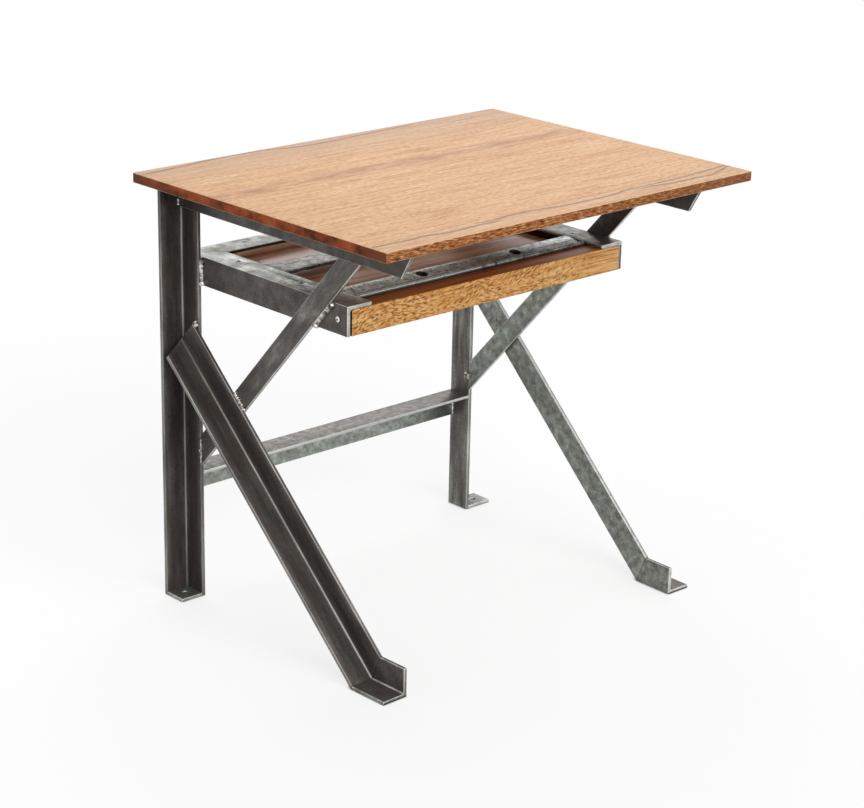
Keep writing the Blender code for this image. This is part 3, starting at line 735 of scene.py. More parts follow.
# The lip's painted highlight, how far the other rounds are rubbed, and how much less of both on the darker
# front
LIP_HIGHLIGHT = 1.2
ROUND_RUB = 0.3
DARK_FRONT_HIGHLIGHT_LOSS = 0.8
pale_ends = bm.faces.layers.float.new("pale_ends")
tone = bm.faces.layers.float["tone"]
wear_and_highlight = bm.faces.layers.float["wear_and_highlight"]
for face in bm.faces:
    place = face.calc_center_median()
    behind = (place.y - low.y) / MM
    on_lip = behind < CREASE[0]
    from_dark_middle = abs(place.x - DARK_MIDDLE_PLACE)
    dark_front = 0.0
    if behind < DARK_FRONT_DEPTH:
        dark_front = min(1.0, max(0.0, place.x - DARK_FRONT_FROM) / DARK_FRONT_FADE)
    in_hole = HOLE_ZONE[0] < behind < HOLE_ZONE[1] and face.normal.z < 0.8
    at_end = not low.x + END_GAP_SHADE < place.x < high.x - END_GAP_SHADE
    in_crease = CREASE[0] < behind < CREASE[1] or face.normal.z < -0.5
    in_front = face.normal.y < -0.98 and on_lip
    # Painted shade in the holes, the end gaps, the crease, the underside and on the lip's front face
    dark = in_hole or at_end or in_crease or in_front
    tone_along_bar = MIDDLE_TONE + END_LIGHT_GAIN * min(1.0, from_dark_middle / DARK_MIDDLE_REACH) - DARK_FRONT_LOSS * dark_front
    rub_and_highlight = LIP_HIGHLIGHT - DARK_FRONT_HIGHLIGHT_LOSS * dark_front if on_lip else ROUND_RUB * face[wear_and_highlight]
    face[pale_ends] = (1.0 - dark_front) * min(1.0, max(0.0, from_dark_middle - PALE_START) / PALE_FADE)
    face[tone] = SHADED_FRONT_TONE if in_front and not at_end else (SHADE_TONE if dark else tone_along_bar)
    face[wear_and_highlight] = 0.0 if dark else rub_and_highlight
finish_piece(bm, "tray_front_bar_dressed", pitted, ("tray_front_bar",))
print("front bar spans", [round(v, 4) for v in high - low])

# %% [markdown]
# The frame is welded by hand. A bead is a row of small puddles that froze one on the other, so it is made the
# same way: a ring of nine points is pushed along the joint, swelling and shrinking with each puddle, by a
# little chance from a seeded dice. Half of it sits inside the steel, as the root of a real weld does. An
# extrusion keeps the face that it started from, so each old cap is deleted, or the bead would be full of
# walls.

# %% Helper for weld beads
RING_POINTS = 9
# Place of each ring in its puddle, and its share of the puddle's radius
RINGS_PER_PUDDLE = ((0.0, 0.84), (0.3, 1.0), (0.7, 0.97))
PUDDLE_STEP = 1.15
PUDDLE_START = 0.1
TAIL = 0.45
TIP = 0.5
# Limits of the dice for a puddle's radius, for the first and the last one, and for the lean outwards
SWELL = (0.82, 1.12)
END_SWELL = (1.05, 1.25)
LEAN = (0.0, 0.25)


def lay_bead(bm, start, end, sides, radius, dice):
    along = (end - start).normalized()
    outward = (sides[0] + sides[1]).normalized()
    puddles = max(2, round((end - start).length / (PUDDLE_STEP * radius)))
    step = (end - start).length / puddles
    facing = along.to_track_quat("Z", "X").to_matrix().to_4x4()
    middle = start + outward * radius * PUDDLE_START
    size = radius * TAIL
    made = bmesh.ops.create_circle(bm, cap_ends=True, segments=RING_POINTS, radius=size,
                                   matrix=Matrix.Translation(middle) @ facing)
    start_cap = list({f for v in made["verts"] for f in v.link_faces})
    cap = start_cap
    for puddle in range(puddles):
        swell = radius * dice.uniform(*SWELL)
        if puddle in (0, puddles - 1):
            swell = radius * dice.uniform(*END_SWELL)
        lean = outward * radius * dice.uniform(*LEAN)
        for share, fat in RINGS_PER_PUDDLE:
            target = start + along * step * (puddle + share + PUDDLE_START) + lean
            pushed = bmesh.ops.extrude_face_region(bm, geom=cap)["geom"]
            if cap is not start_cap:
                bmesh.ops.delete(bm, geom=cap, context="FACES")
            cap = [g for g in pushed if isinstance(g, bmesh.types.BMFace)]
            ring = [g for g in pushed if isinstance(g, bmesh.types.BMVert)]
            bmesh.ops.translate(bm, verts=ring, vec=target - middle)
            grow = swell * fat / size
            bmesh.ops.scale(bm, verts=ring, vec=(grow, grow, grow), space=Matrix.Translation(-target))
            middle = target
            size = swell * fat
    ring = list({v for f in cap for v in f.verts})
    bmesh.ops.scale(bm, verts=ring, vec=(TIP, TIP, TIP), space=Matrix.Translation(-middle))
    return puddles


print("each puddle has", len(RINGS_PER_PUDDLE), "rings")

# %% Finish: weld metal
weld_metal, tree, shader = new_finish("steel_weld_brushed")
# Wire-brushed weld metal: bright and silvery on the crowns, brown and grey from heat in the hollows
place = add(tree, "ShaderNodeTexCoord").outputs["Object"]
clouds = add(tree, "ShaderNodeTexNoise", {"Vector": place, "Scale": 1 / (6 * MM), "Detail": 5.0}).outputs[0]
colour = add(tree, "ShaderNodeValToRGB", {0: clouds},
             stops=[(0.32, "#4E4741"), (0.44, "#8C867E"), (0.56, "#C4C1BB"), (0.74, "#EFEDE9")]).outputs[0]
shader.inputs["Metallic"].default_value = 1.0
close_finish(tree, shader, colour, clouds, 0.5, 0.26, clouds, 0.4, 0.5 * MM)
print("finish:", weld_metal.name)

# %% [markdown]
# Where the beads run follows from the members: each is the line where one member's edge lies on another's
# face. Only the slopes of the leg and the brace are stated, and the rest is asked from the solids.

# %% Helpers for the lines that the welds follow
LEG_RISE = Vector((0.0, -math.sin(LEG_SLOPE), math.cos(LEG_SLOPE)))
BRACE_RISE = Vector((0.0, math.sin(BRACE_SLOPE), math.cos(BRACE_SLOPE)))
UP = Vector((0.0, 0.0, 1.0))
BACK = Vector((0.0, 1.0, 0.0))


def reach(node, direction):
    return max(v.co.dot(direction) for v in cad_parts[node].data.vertices)


def meet(across, direction_a, level_a, direction_b, level_b):
    spread = direction_a.y * direction_b.z - direction_a.z * direction_b.y
    return Vector((across, (level_a * direction_b.z - level_b * direction_a.z) / spread,
                   (direction_a.y * level_b - direction_b.y * level_a) / spread))


def upright(x, y, low, high):
    return Vector((x, y, low)), Vector((x, y, high))


print("a leg rises", round(math.degrees(LEG_SLOPE), 1), "degrees")

# %% Weld beads of both side frames
BEAD = 4.4 * MM
WALL = 6.35 * MM
DICE_SEED = 40


def side_welds(side, sign):
    dice = random.Random(DICE_SEED + int(sign))
    outward = Vector((sign, 0.0, 0.0))
    brace, leg, rail = side + "_brace", side + "_leg", "tray_" + side + "_rail"
    rail_low, rail_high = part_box("tray_" + side + "_rail")
    post_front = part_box(side + "_post")[0].y
    strut_low, strut_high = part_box("stretcher")
    top_low, top_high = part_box(side + "_top_rail")
    rail_face = sign * reach(rail, outward)
    brace_out = sign * reach(brace, outward)
    brace_in = brace_out - sign * WALL
    post_in = -sign * reach(side + "_post", -outward)
    post_wall = post_in + sign * WALL
    top_wall = (top_low.x if sign > 0 else top_high.x) + sign * WALL
    under = -reach(brace, -BRACE_RISE)
    over = reach(brace, BRACE_RISE)
    foot = -reach(brace, -UP)
    leg_over = reach(leg, LEG_RISE)
    leg_top = meet(post_wall, LEG_RISE, leg_over, LEG_RUN, reach(leg, LEG_RUN))
    outer_corner = (outward, -BACK)
    inner_corner = (-outward, -BACK)
    on_leg = (outward, LEG_RISE)
    joints = [
        (*upright(rail_face, post_front, rail_low.z, rail_high.z), outer_corner, BEAD * 1.35),
        (meet(brace_in, BRACE_RISE, under, UP, rail_low.z + 2 * MM),
         meet(brace_in, BRACE_RISE, under, UP, rail_high.z + 1 * MM), (outward, -BRACE_RISE), BEAD * 1.35),
        (meet(brace_out, LEG_RISE, leg_over, BRACE_RISE, under),
         meet(brace_out, LEG_RISE, leg_over, BRACE_RISE, over), on_leg, BEAD),
        (meet(post_wall, LEG_RISE, leg_over, BACK, post_front + 3 * MM), leg_top, on_leg, BEAD * 0.7),
        (leg_top - LEG_RUN * 8 * MM, leg_top + LEG_RUN * 6 * MM, on_leg, BEAD * 1.3),
        (*upright(post_in, post_front + 4 * MM, foot + 22 * MM, foot + 38 * MM), inner_corner, BEAD * 1.4),
        (*upright(brace_out, post_front, foot + 4 * MM, foot + 52 * MM), outer_corner, BEAD * 0.5),
        (*upright(top_wall, top_high.y + 2 * MM, top_low.z + 3 * MM, top_low.z + 17 * MM), outer_corner,
         BEAD * 0.75),
        (*upright(post_in, strut_high.y - WALL, strut_low.z + 2 * MM, strut_high.z - WALL), inner_corner,
         BEAD * 0.6),
    ]
    bm = bmesh.new()
    count = sum(lay_bead(bm, *joint, dice) for joint in joints)
    bmesh.ops.recalc_face_normals(bm, faces=bm.faces[:])
    finish_piece(bm, side + "_frame_welds", weld_metal)
    return count


print("puddles:", side_welds("left", -1.0), side_welds("right", 1.0))

# %% [markdown]
# Cross-head screws hold the wood. Plain ones go down through the tray's flanges and up through the top rails,
# and a bright one goes through each side rail into the end of the front board. One head is modelled from a
# small grid: the cells that make a cross are pushed down, and the rim is pulled out to a circle. Copies of it
# then stand where the solids are.

# %% Cross-head screw
# Sizes of the head as shares of its radius, and heights as shares of its height
HEAD_STEPS = (-1.0, -0.48, -0.15, 0.15, 0.48, 1.0)
DOME = 0.45
RECESS = 0.6
SKIRT = 0.55
CROSS_WIDTH = 0.05
CROSS_LENGTH = 0.5
RECESS_TAPER = 0.8
METAL_TONE = 0.80


def in_cross(face):
    nearer, farther = sorted(abs(v) for v in face.calc_center_median()[:2])
    return nearer < CROSS_WIDTH and farther < CROSS_LENGTH


def screw_head(radius, height):
    bm = bmesh.new()
    tone = bm.faces.layers.float.new("tone")
    cells = len(HEAD_STEPS) - 1
    bmesh.ops.create_grid(bm, x_segments=cells, y_segments=cells, size=1.0)
    for vert in bm.verts:
        column, row = (round((vert.co[i] + 1.0) * cells / 2) for i in (0, 1))
        vert.co = Vector((HEAD_STEPS[column], HEAD_STEPS[row], 0.0))
        if 1.0 in (abs(vert.co.x), abs(vert.co.y)):
            vert.co.normalize()
        vert.co.z = DOME * (1.0 - vert.co.length_squared)
    for face in bm.faces:
        face[tone] = METAL_TONE
    cross = [f for f in bm.faces if in_cross(f)]
    pushed = bmesh.ops.extrude_face_region(bm, geom=cross)["geom"]
    bmesh.ops.delete(bm, geom=cross, context="FACES")
    floor_verts = [g for g in pushed if isinstance(g, bmesh.types.BMVert)]
    bmesh.ops.translate(bm, verts=floor_verts, vec=(0.0, 0.0, -RECESS))
    bmesh.ops.scale(bm, verts=floor_verts, vec=(RECESS_TAPER, RECESS_TAPER, 1.0))
    # The recess gets tone 0, where the finish paints shade
    for vert in floor_verts:
        for face in vert.link_faces:
            face[tone] = 0.0
    rim = [e for e in bm.edges if e.is_boundary]
    dropped = bmesh.ops.extrude_edge_only(bm, edges=rim)["geom"]
    skirt = [g for g in dropped if isinstance(g, bmesh.types.BMVert)]
    bmesh.ops.translate(bm, verts=skirt, vec=(0.0, 0.0, -SKIRT))
    bmesh.ops.contextual_create(bm, geom=[e for e in bm.edges if e.is_boundary])
    bmesh.ops.scale(bm, verts=bm.verts[:], vec=(radius, radius, height))
    bmesh.ops.recalc_face_normals(bm, faces=bm.faces[:])
    return bm


print("screw head steps:", HEAD_STEPS)

# %% Finishes of the screws
def screw_finish(name, dull, bright):
    # Plated steel: a faintly cloudy metal, and painted shade in the recess
    material, tree, shader = new_finish(name)
    place = add(tree, "ShaderNodeTexCoord").outputs["Object"]
    tone, = numbers_on_faces(tree, "tone")
    clouds = add(tree, "ShaderNodeTexNoise", {"Vector": place, "Scale": 1 / (3 * MM),
                                              "Detail": 4.0}).outputs[0]
    colour = add(tree, "ShaderNodeValToRGB", {0: clouds}, stops=[(0.3, dull), (0.7, bright)]).outputs[0]
    colour = stain(tree, colour, "#16181C", tone, 0.7, 0.1, 1.0)
    shader.inputs["Metallic"].default_value = 0.9
    close_finish(tree, shader, colour, clouds, 0.42, 0.24)
    return material


plain_screw = screw_finish("steel_screw_plain", "#7E807F", "#B4B6B5")
zinc_screw = screw_finish("steel_screw_zinc_plated", "#C9CCD0", "#F7F8F9")
print("screw finishes:", plain_screw.name, zinc_screw.name)

# %% Stand the screws in place
HEAD_RADIUS = 4.2 * MM
BRIGHT_HEAD_RADIUS = 4.8 * MM
# How far the head's rim lies below the end of the solid, and the head's height
PROUD_HEAD = (1.1 * MM, 2.4 * MM)
FLUSH_HEAD = (1.9 * MM, 1.5 * MM)
HEAD_TURN = 0.5


def stand_screw(node, axis, radius, head, material):
    low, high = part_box(node)
    middle = (low + high) / 2
    far = Vector([(high if a > 0 else low)[i] if a else middle[i] for i, a in enumerate(axis)])
    below, height = head
    bm = screw_head(radius, height)
    facing = Vector(axis).to_track_quat("Z", "Y").to_matrix().to_4x4()
    seat = Matrix.Translation(far - Vector(axis) * below)
    bmesh.ops.transform(bm, verts=bm.verts[:], matrix=seat @ facing @ Matrix.Rotation(HEAD_TURN, 4, "Z"))
    finish_piece(bm, node + "_dressed", material, (node,))


for node in sorted(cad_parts):
    if node.startswith("tray_flange_screw"):
        stand_screw(node, (0, 0, 1), HEAD_RADIUS, FLUSH_HEAD, plain_screw)
    elif node.startswith("top_screw"):
        stand_screw(node, (0, 0, -1), HEAD_RADIUS, PROUD_HEAD, plain_screw)
    elif node.startswith("tray_board_screw"):
        outward = (-1 if "left" in node else 1, 0, 0)
        stand_screw(node, outward, BRIGHT_HEAD_RADIUS, PROUD_HEAD, zinc_screw)
print("screws stood:", sum("screw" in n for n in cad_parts))

# %% [markdown]
# The top is one wide panel with a narrow strip along the front and the back, planed together, so one finish
# runs on over all three. On its faces the grain is seen along its length, on its ends it is cut across, and
# on its front it is split, so each face carries numbers that say which of the three it is.

# %% Helper for wooden boards
SQUARE_ON = 0.75
UPRIGHT_FACE = 0.3
JOINT_REACH = 0.5 * MM
ACROSS_JOINT = 1 * MM


def wood_board(node, arris, glued=()):
    bm = merged_copy(node)
    ways = [bm.faces.layers.float.new(way) for way in ("end_grain", "edge_grain", "upper_face")]
    wear_and_highlight = bm.faces.layers.float["wear_and_highlight"]
    free = [e for e in outer_edges(bm)
            if not any(abs(v.co.y - level) < JOINT_REACH for v in e.verts for level in glued)
            or abs(e.verts[0].co.y - e.verts[1].co.y) > ACROSS_JOINT]
    round_edges(bm, free, arris)
    bm.normal_update()
    for face in bm.faces:
        # The upright corners get no painted highlight and stay as dark as the faces beside them
        if abs(face.normal.z) < UPRIGHT_FACE:
            face[wear_and_highlight] = 0.0
        for way, share in zip(ways, (abs(face.normal.x), abs(face.normal.y), face.normal.z)):
            face[way] = 1.0 if share > SQUARE_ON else 0.0
    return bm


TOP_BOARDS = ("top_front_strip", "top_panel", "top_rear_strip")
panel_low, panel_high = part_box("top_panel")
GLUED_JOINTS = (panel_low.y, panel_high.y)
print("panel of the top:", [round(v, 4) for v in panel_high - panel_low])

# %% [markdown]
# The wood is a pale oiled hardwood. Its colour is built up as the tree built it: slow changes from board to
# board, streaks along the grain, and short pores over everything. Each layer is a noise that is stretched
# along the grain, and its size is written in millimetres. The grain doesn't run dead straight, so a slow
# drift bends all the layers.

# %% Finish: grain of the top
top_wood, tree, top_shader = new_finish("hardwood_planed_oiled")
# Planed and oiled hardwood: pale tan, fine pores along the grain, half matt
DRIFT = 14 * MM
place = add(tree, "ShaderNodeTexCoord").outputs["Object"]
drift = add(tree, "ShaderNodeTexNoise", {"Vector": place, "Scale": 1 / (260 * MM), "Detail": 3.0})
drift = add(tree, "ShaderNodeMapRange", {0: drift.outputs[0], 3: -DRIFT, 4: DRIFT})
along_x, along_y, along_z = add(tree, "ShaderNodeSeparateXYZ", {0: place}).outputs
across = add(tree, "ShaderNodeMath", {0: along_y, 1: drift.outputs[0]}, operation="ADD").outputs[0]
grain = add(tree, "ShaderNodeCombineXYZ", {0: along_x, 1: across, 2: along_z}).outputs[0]


def along_grain(tree, grain, length, width, detail=3.0):
    size = (length * MM, width * MM, width * MM)
    drawn = add(tree, "ShaderNodeMapping", {0: grain, 3: size}, vector_type="TEXTURE")
    return add(tree, "ShaderNodeTexNoise", {"Vector": drawn.outputs[0], "Scale": 1.0, "Detail": detail,
                                            "Roughness": 0.62}).outputs[0]


bands = along_grain(tree, grain, 420, 34)
streaks = along_grain(tree, grain, 130, 8, 5.0)
# Pores are 0.3 mm wide and 5 mm long, drawn at 3 mm by 13 mm so that they show
pores = along_grain(tree, grain, 13, 3.0, 3.0)
dots = add(tree, "ShaderNodeMapRange", {0: pores, 1: 0.50, 2: 0.66, 3: 0.0, 4: 0.55}).outputs[0]
tan = add(tree, "ShaderNodeValToRGB", {0: bands},
          stops=[(0.30, "#DBA273"), (0.44, "#E8BA8C"), (0.56, "#EABB8D"), (0.72, "#EDC59A")]).outputs[0]
tan = stain(tree, tan, "#C78C63", streaks, 0.48, 0.68, 0.75)
tan = stain(tree, tan, "#F0CB9F", streaks, 0.46, 0.30, 0.6)
tan = add(tree, "ShaderNodeMix", {0: dots, 6: tan, 7: linear("#AE7348")}, data_type="RGBA").outputs[2]
tan = stain(tree, tan, "#F6DAB6", pores, 0.46, 0.32, 0.45)
print("the grain drifts by up to", DRIFT / MM, "mm")

# %% [markdown]
# Close to the front edge, and once at the back, growth rings were cut at a slant and show as thin grey-brown
# lines, and a darker band runs along the panel behind its middle. Each line is a curve through a few points,
# in millimetres from the middle of the desk, and the finish darkens what lies close to the curve.

# %% Finish: growth rings of the top
GROWTH_RINGS = (
    ((-412, -281), (-366, -282), (-331, -283), (-308, -280), (-260, -289), (-194, -285), (-142, -289)),
    ((-200, -268), (-164, -276), (-108, -272), (-32, -278), (6, -283), (98, -283), (156, -273), (261, -272),
     (353, -265), (412, -258)),
    ((150, -281), (206, -283), (243, -288), (305, -288), (334, -290), (356, -285), (405, -266)),
    ((-412, 292), (-315, 301), (-212, 310), (-158, 310), (-111, 301), (-40, 290), (60, 296), (200, 304)),
)
RING_HALF_WIDTH = 5.2 * MM
# A ring fades out over this length, unless it runs out over an end of the top, past 400 mm
RING_FADE = 24
TOP_END = 400
rings = None
for ring in GROWTH_RINGS:
    first, last = ring[0][0], ring[-1][0]
    lowest = min(y for x, y in ring) - 1
    highest = max(y for x, y in ring) + 1
    on_curve = [((x - first) / (last - first), (y - lowest) / (highest - lowest)) for x, y in ring]
    share = add(tree, "ShaderNodeMapRange", {0: along_x, 1: first * MM, 2: last * MM})
    line = add(tree, "ShaderNodeFloatCurve", {1: share.outputs[0]}, points=on_curve)
    line = add(tree, "ShaderNodeMapRange", {0: line.outputs[0], 3: lowest * MM, 4: highest * MM})
    away = add(tree, "ShaderNodeMath", {0: along_y, 1: line.outputs[0]}, operation="SUBTRACT")
    away = add(tree, "ShaderNodeMath", {0: away.outputs[0]}, operation="ABSOLUTE")
    mark = add(tree, "ShaderNodeMapRange", {0: away.outputs[0], 1: 0.0, 2: RING_HALF_WIDTH, 3: 1.0,
                                            4: 0.0}).outputs[0]
    for end, inner in ((first, first + RING_FADE), (last, last - RING_FADE)):
        if abs(end) < TOP_END:
            fade = add(tree, "ShaderNodeMapRange", {0: along_x, 1: end * MM, 2: inner * MM}).outputs[0]
            mark = add(tree, "ShaderNodeMath", {0: mark, 1: fade}, operation="MULTIPLY").outputs[0]
    if rings is not None:
        mark = add(tree, "ShaderNodeMath", {0: rings, 1: mark}, operation="MAXIMUM").outputs[0]
    rings = mark
print("growth rings:", len(GROWTH_RINGS))

# %% Finish: colour of the top's upper face
BAND_PLACE = 92 * MM
patchy = along_grain(tree, grain, 60, 9)
tan = stain(tree, tan, "#B0A8A0", along_y, -258 * MM, -284 * MM, 0.15)
tan = stain(tree, tan, "#C9A68E", along_y, 170 * MM, 300 * MM, 0.6)
band = add(tree, "ShaderNodeMath", {0: across, 1: BAND_PLACE}, operation="SUBTRACT").outputs[0]
band = add(tree, "ShaderNodeMath", {0: band}, operation="ABSOLUTE").outputs[0]
band = add(tree, "ShaderNodeMapRange", {0: band, 1: 34 * MM, 2: 6 * MM, 3: 0.0, 4: 0.9}).outputs[0]
blotched = add(tree, "ShaderNodeMapRange", {0: patchy, 1: 0.34, 2: 0.62}).outputs[0]
broken = add(tree, "ShaderNodeMapRange", {0: patchy, 1: 0.30, 2: 0.52, 3: 0.3, 4: 0.85}).outputs[0]
for mark, limit, tint in ((band, blotched, "#BF8A68"), (rings, broken, "#7D6257")):
    share = add(tree, "ShaderNodeMath", {0: mark, 1: limit}, operation="MULTIPLY").outputs[0]
    tan = add(tree, "ShaderNodeMix", {0: share, 6: tan, 7: linear(tint)}, data_type="RGBA").outputs[2]
print("zones of the upper face: front, back, band, rings")

# %% [markdown]
# Cut ends drink oil and go a deep red brown, in blocks a few centimetres wide. The front edge was sawn and
# left rough: it is mottled, with short dark dashes, nearly level, where the saw tore the fibres.

# %% Finish: ends of the top
blocks = add(tree, "ShaderNodeMapping", {0: place, 3: (1.0, 44 * MM, 22 * MM)}, vector_type="TEXTURE")
blocks = add(tree, "ShaderNodeTexNoise", {"Vector": blocks.outputs[0], "Scale": 1.0, "Detail": 6.0,
                                          "Roughness": 0.6}).outputs[0]
patches = add(tree, "ShaderNodeMapping", {0: place, 2: (0.4, 0.0, 0.0), 3: (1.0, 40 * MM, 60 * MM)},
              vector_type="TEXTURE")
patches = add(tree, "ShaderNodeTexVoronoi", {"Vector": patches.outputs[0], "Scale": 1.0}).outputs["Color"]
patches = add(tree, "ShaderNodeMapRange", {0: patches, 3: -0.11, 4: 0.11})
blocks = add(tree, "ShaderNodeMath", {0: blocks, 1: patches.outputs[0]}, operation="ADD").outputs[0]
red = add(tree, "ShaderNodeValToRGB", {0: blocks},
          stops=[(0.30, "#4A2614"), (0.43, "#8C4324"), (0.56, "#B2572E"), (0.72, "#C86F44")]).outputs[0]
red = stain(tree, red, "#78482E", along_y, 230 * MM, 300 * MM, 0.75)
red = stain(tree, red, "#7E4A2F", along_y, -263 * MM, -266 * MM, 0.75)
print("the ends darken in blocks of", (44, 22), "mm")

# %% Finish: front edge of the top, and the whole
torn = add(tree, "ShaderNodeMapping", {0: place, 2: (0.0, 0.06, 0.0), 3: (13 * MM, 5 * MM, 2.4 * MM)},
           vector_type="TEXTURE")
torn = add(tree, "ShaderNodeTexNoise", {"Vector": torn.outputs[0], "Scale": 1.0, "Detail": 3.0,
                                        "Roughness": 0.6}).outputs[0]
brown = add(tree, "ShaderNodeValToRGB", {0: torn},
            stops=[(0.32, "#4A2612"), (0.45, "#8E5430"), (0.55, "#B57643"), (0.68, "#DFAE7C")]).outputs[0]
# The front edge is painted darker towards its right end, as painted shade
brown = stain(tree, brown, "#7E4A22", along_x, -100 * MM, 410 * MM, 0.6)
end, front, arris = numbers_on_faces(tree, "end_grain", "edge_grain", "wear_and_highlight")
# A painted highlight along the rounded arrises, broken up by the torn pattern
arris_highlight = add(tree, "ShaderNodeMapRange", {0: torn, 1: 0.38, 2: 0.56, 3: 0.4, 4: 0.8}).outputs[0]
arris = add(tree, "ShaderNodeMath", {0: arris, 1: arris_highlight}, operation="MULTIPLY").outputs[0]
colour = tan
for share, other in ((end, red), (front, brown), (arris, linear("#EFCDA2"))):
    colour = add(tree, "ShaderNodeMix", {0: share, 6: colour, 7: other}, data_type="RGBA").outputs[2]
top_shader.inputs["Specular IOR Level"].default_value = 0.12
height = add(tree, "ShaderNodeMath", {0: torn, 1: front}, operation="MULTIPLY").outputs[0]
height = add(tree, "ShaderNodeMath", {0: height, 1: dots}, operation="SUBTRACT").outputs[0]
close_finish(tree, top_shader, colour, streaks, 0.42, 0.58, height, 0.25, 0.6 * MM)
print("finish:", top_wood.name)

# %% Dress the boards of the top
BOARD_ARRIS = 0.8 * MM
for node in TOP_BOARDS:
    board = wood_board(node, BOARD_ARRIS, GLUED_JOINTS)
    finish_piece(board, node + "_dressed", top_wood, (node,))
print("boards of the top:", len(TOP_BOARDS))

# %% [markdown]
# The tray's front board is a thick golden wood with many short dark flecks that slant across its face. Its
# upper face is darker, with a painted shadow just in front of the bar. The panel behind it is browner and
# glossy. A field of it is painted lighter as painted light, and painted shade, nearly black, lies behind and
# below the front bar and at the panel's right end.

# %% Finish: flecks of the golden front board
golden_wood, tree, shader = new_finish("hardwood_sawn_golden")
# Sawn and oiled hardwood: golden, with short brown flecks, its upper face darker, with a painted shadow in
# front of the bar
STROKE = (9 * MM, 5 * MM, 2.7 * MM)
SLANTS = (0.08, -0.40)
place = add(tree, "ShaderNodeTexCoord").outputs["Object"]
along_x, along_y, along_z = add(tree, "ShaderNodeSeparateXYZ", {0: place}).outputs
strokes = []
for slant in SLANTS:
    laid = add(tree, "ShaderNodeMapping", {0: place, 2: (0.0, slant, 0.0), 3: STROKE}, vector_type="TEXTURE")
    strokes.append(add(tree, "ShaderNodeTexNoise", {"Vector": laid.outputs[0], "Scale": 1.0, "Detail": 2.5,
                                                    "Roughness": 0.55}).outputs[0])
# The two slants take turns along the board, in fields of about 90 mm
fields = add(tree, "ShaderNodeTexNoise", {"Vector": place, "Scale": 1 / (90 * MM), "Detail": 1.0}).outputs[0]
fields = add(tree, "ShaderNodeMapRange", {0: fields, 1: 0.46, 2: 0.6}).outputs[0]
# Towards the right end the flecks give way to long streaks
reeds = along_grain(tree, place, 70, 3, 4.0)
reedy = add(tree, "ShaderNodeMapRange", {0: along_x, 1: 150 * MM, 2: 260 * MM, 3: 0.0, 4: 0.8}).outputs[0]
flecks = strokes[0]
for share, other in ((fields, strokes[1]), (reedy, reeds)):
    flecks = add(tree, "ShaderNodeMix", {0: share, 2: flecks, 3: other}, data_type="FLOAT").outputs[0]
print("flecks slant by", [round(math.degrees(slant)) for slant in SLANTS], "degrees")

# %% Finish: colour of the golden front board
lengthwise = along_grain(tree, place, 180, 6, 5.0)
gold = add(tree, "ShaderNodeValToRGB", {0: lengthwise},
           stops=[(0.3, "#D08840"), (0.46, "#E7A65A"), (0.6, "#F1BA74"), (0.75, "#F7D098")]).outputs[0]
marks = add(tree, "ShaderNodeMapRange", {0: flecks, 1: 0.51, 2: 0.62, 3: 0.0, 4: 0.82}).outputs[0]
gold = add(tree, "ShaderNodeMix", {0: marks, 6: gold, 7: linear("#82491D")}, data_type="RGBA").outputs[2]
gold = stain(tree, gold, "#F8DAA6", flecks, 0.47, 0.36, 0.7)
upper_colour = add(tree, "ShaderNodeValToRGB", {0: lengthwise},
              stops=[(0.35, "#7E411B"), (0.65, "#B46A31")]).outputs[0]
# A painted shadow of the bar lies on the upper face just in front of it
bar_low, bar_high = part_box("tray_front_bar")
upper_colour = stain(tree, upper_colour, "#1A100B", along_y, bar_low.y - 8 * MM, bar_low.y - 1 * MM, 0.6)
upper, cut = numbers_on_faces(tree, "upper_face", "end_grain")
for share, other in ((upper, upper_colour), (cut, linear("#2B190E"))):
    gold = add(tree, "ShaderNodeMix", {0: share, 6: gold, 7: other}, data_type="RGBA").outputs[2]
shader.inputs["Specular IOR Level"].default_value = 0.15
sunk = add(tree, "ShaderNodeMath", {0: marks, 1: -1.0}, operation="MULTIPLY").outputs[0]
close_finish(tree, shader, gold, lengthwise, 0.34, 0.5, sunk, 0.25, 0.5 * MM)
board = wood_board("tray_front_board", BOARD_ARRIS)
finish_piece(board, "tray_front_board_dressed", golden_wood, ("tray_front_board",))
print("finish:", golden_wood.name)

# %% Finish: brown panel
PANEL_ARRIS = 0.5 * MM
brown_wood, tree, shader = new_finish("hardwood_panel_varnished")
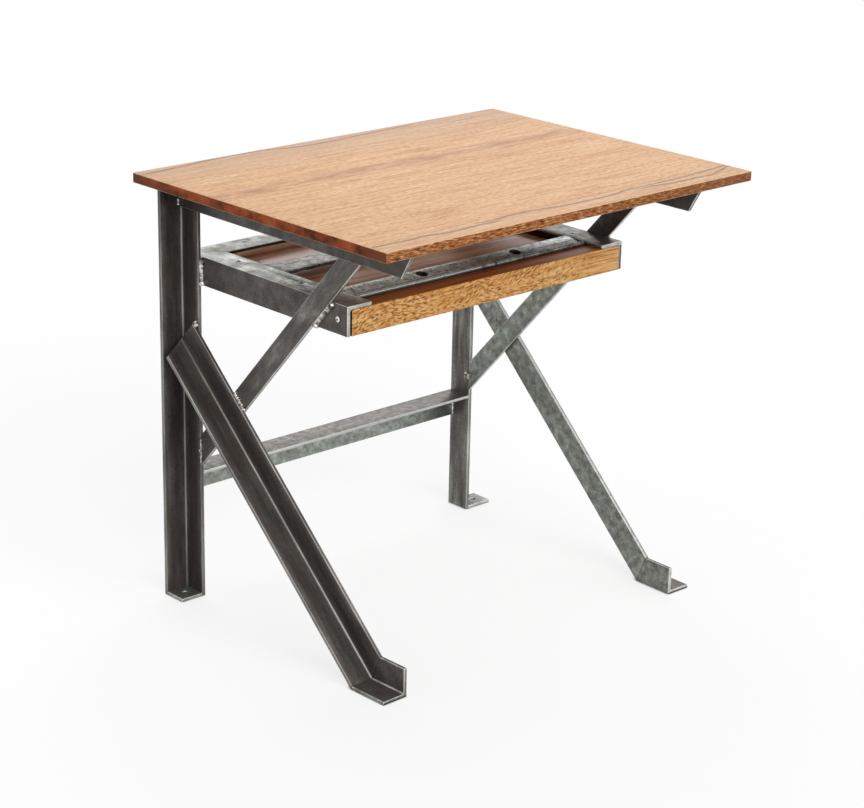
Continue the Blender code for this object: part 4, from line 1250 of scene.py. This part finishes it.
# Varnished panel: red brown, streaked along the grain, glossy, with painted light in one field and painted
# shade, nearly black and without gloss, round the front bar and past its right end
place = add(tree, "ShaderNodeTexCoord").outputs["Object"]
along_x, along_y, along_z = add(tree, "ShaderNodeSeparateXYZ", {0: place}).outputs
lengthwise = along_grain(tree, place, 240, 14, 4.0)
colour, lit_colour = [
    add(tree, "ShaderNodeValToRGB", {0: lengthwise}, stops=list(zip((0.3, 0.5, 0.7), tints))).outputs[0]
    for tints in (("#9A6447", "#C48E6C", "#E2C3AC"), ("#CC9C80", "#FAD6BC", "#FFF4EA"))]
# A field between the bars, left of the middle, is painted lighter and paler: painted light
field = 1.0
for way, start, full in ((along_x, -215, -180), (along_x, 85, 35), (along_y, 100, 92)):
    part = add(tree, "ShaderNodeMapRange", {0: way, 1: start * MM, 2: full * MM}).outputs[0]
    field = add(tree, "ShaderNodeMath", {0: part, 1: field}, operation="MULTIPLY").outputs[0]
# Painted shade lies behind the front bar and past its right end
shaded, shaded_right = [
    add(tree, "ShaderNodeMapRange", {0: way, 1: edge + start * MM, 2: edge + full * MM}).outputs[0]
    for way, edge, start, full in ((along_y, bar_high.y, 34, 17), (along_x, bar_high.x, -6, 4))]
shaded = add(tree, "ShaderNodeMath", {0: shaded, 1: shaded_right}, operation="MAXIMUM").outputs[0]
for share, other in ((field, lit_colour), (shaded, linear("#0D0A08"))):
    colour = add(tree, "ShaderNodeMix", {0: share, 6: colour, 7: other}, data_type="RGBA").outputs[2]
shader.inputs["Specular IOR Level"].default_value = 0.0
# The coat is taken off where the painted shade lies, so no reflection lightens it
coat_outside_shade = add(tree, "ShaderNodeMapRange", {0: shaded, 3: 1.0, 4: 0.0})
tree.links.new(coat_outside_shade.outputs[0], shader.inputs["Coat Weight"])
shader.inputs["Coat Roughness"].default_value = 0.3
close_finish(tree, shader, colour, lengthwise, 0.3, 0.45, lengthwise, 0.1, 0.3 * MM)
for node in ("tray_panel", "tray_left_batten", "tray_right_batten", "tray_rear_batten"):
    finish_piece(wood_board(node, PANEL_ARRIS), node + "_dressed", brown_wood, (node,))
print("finish:", brown_wood.name)
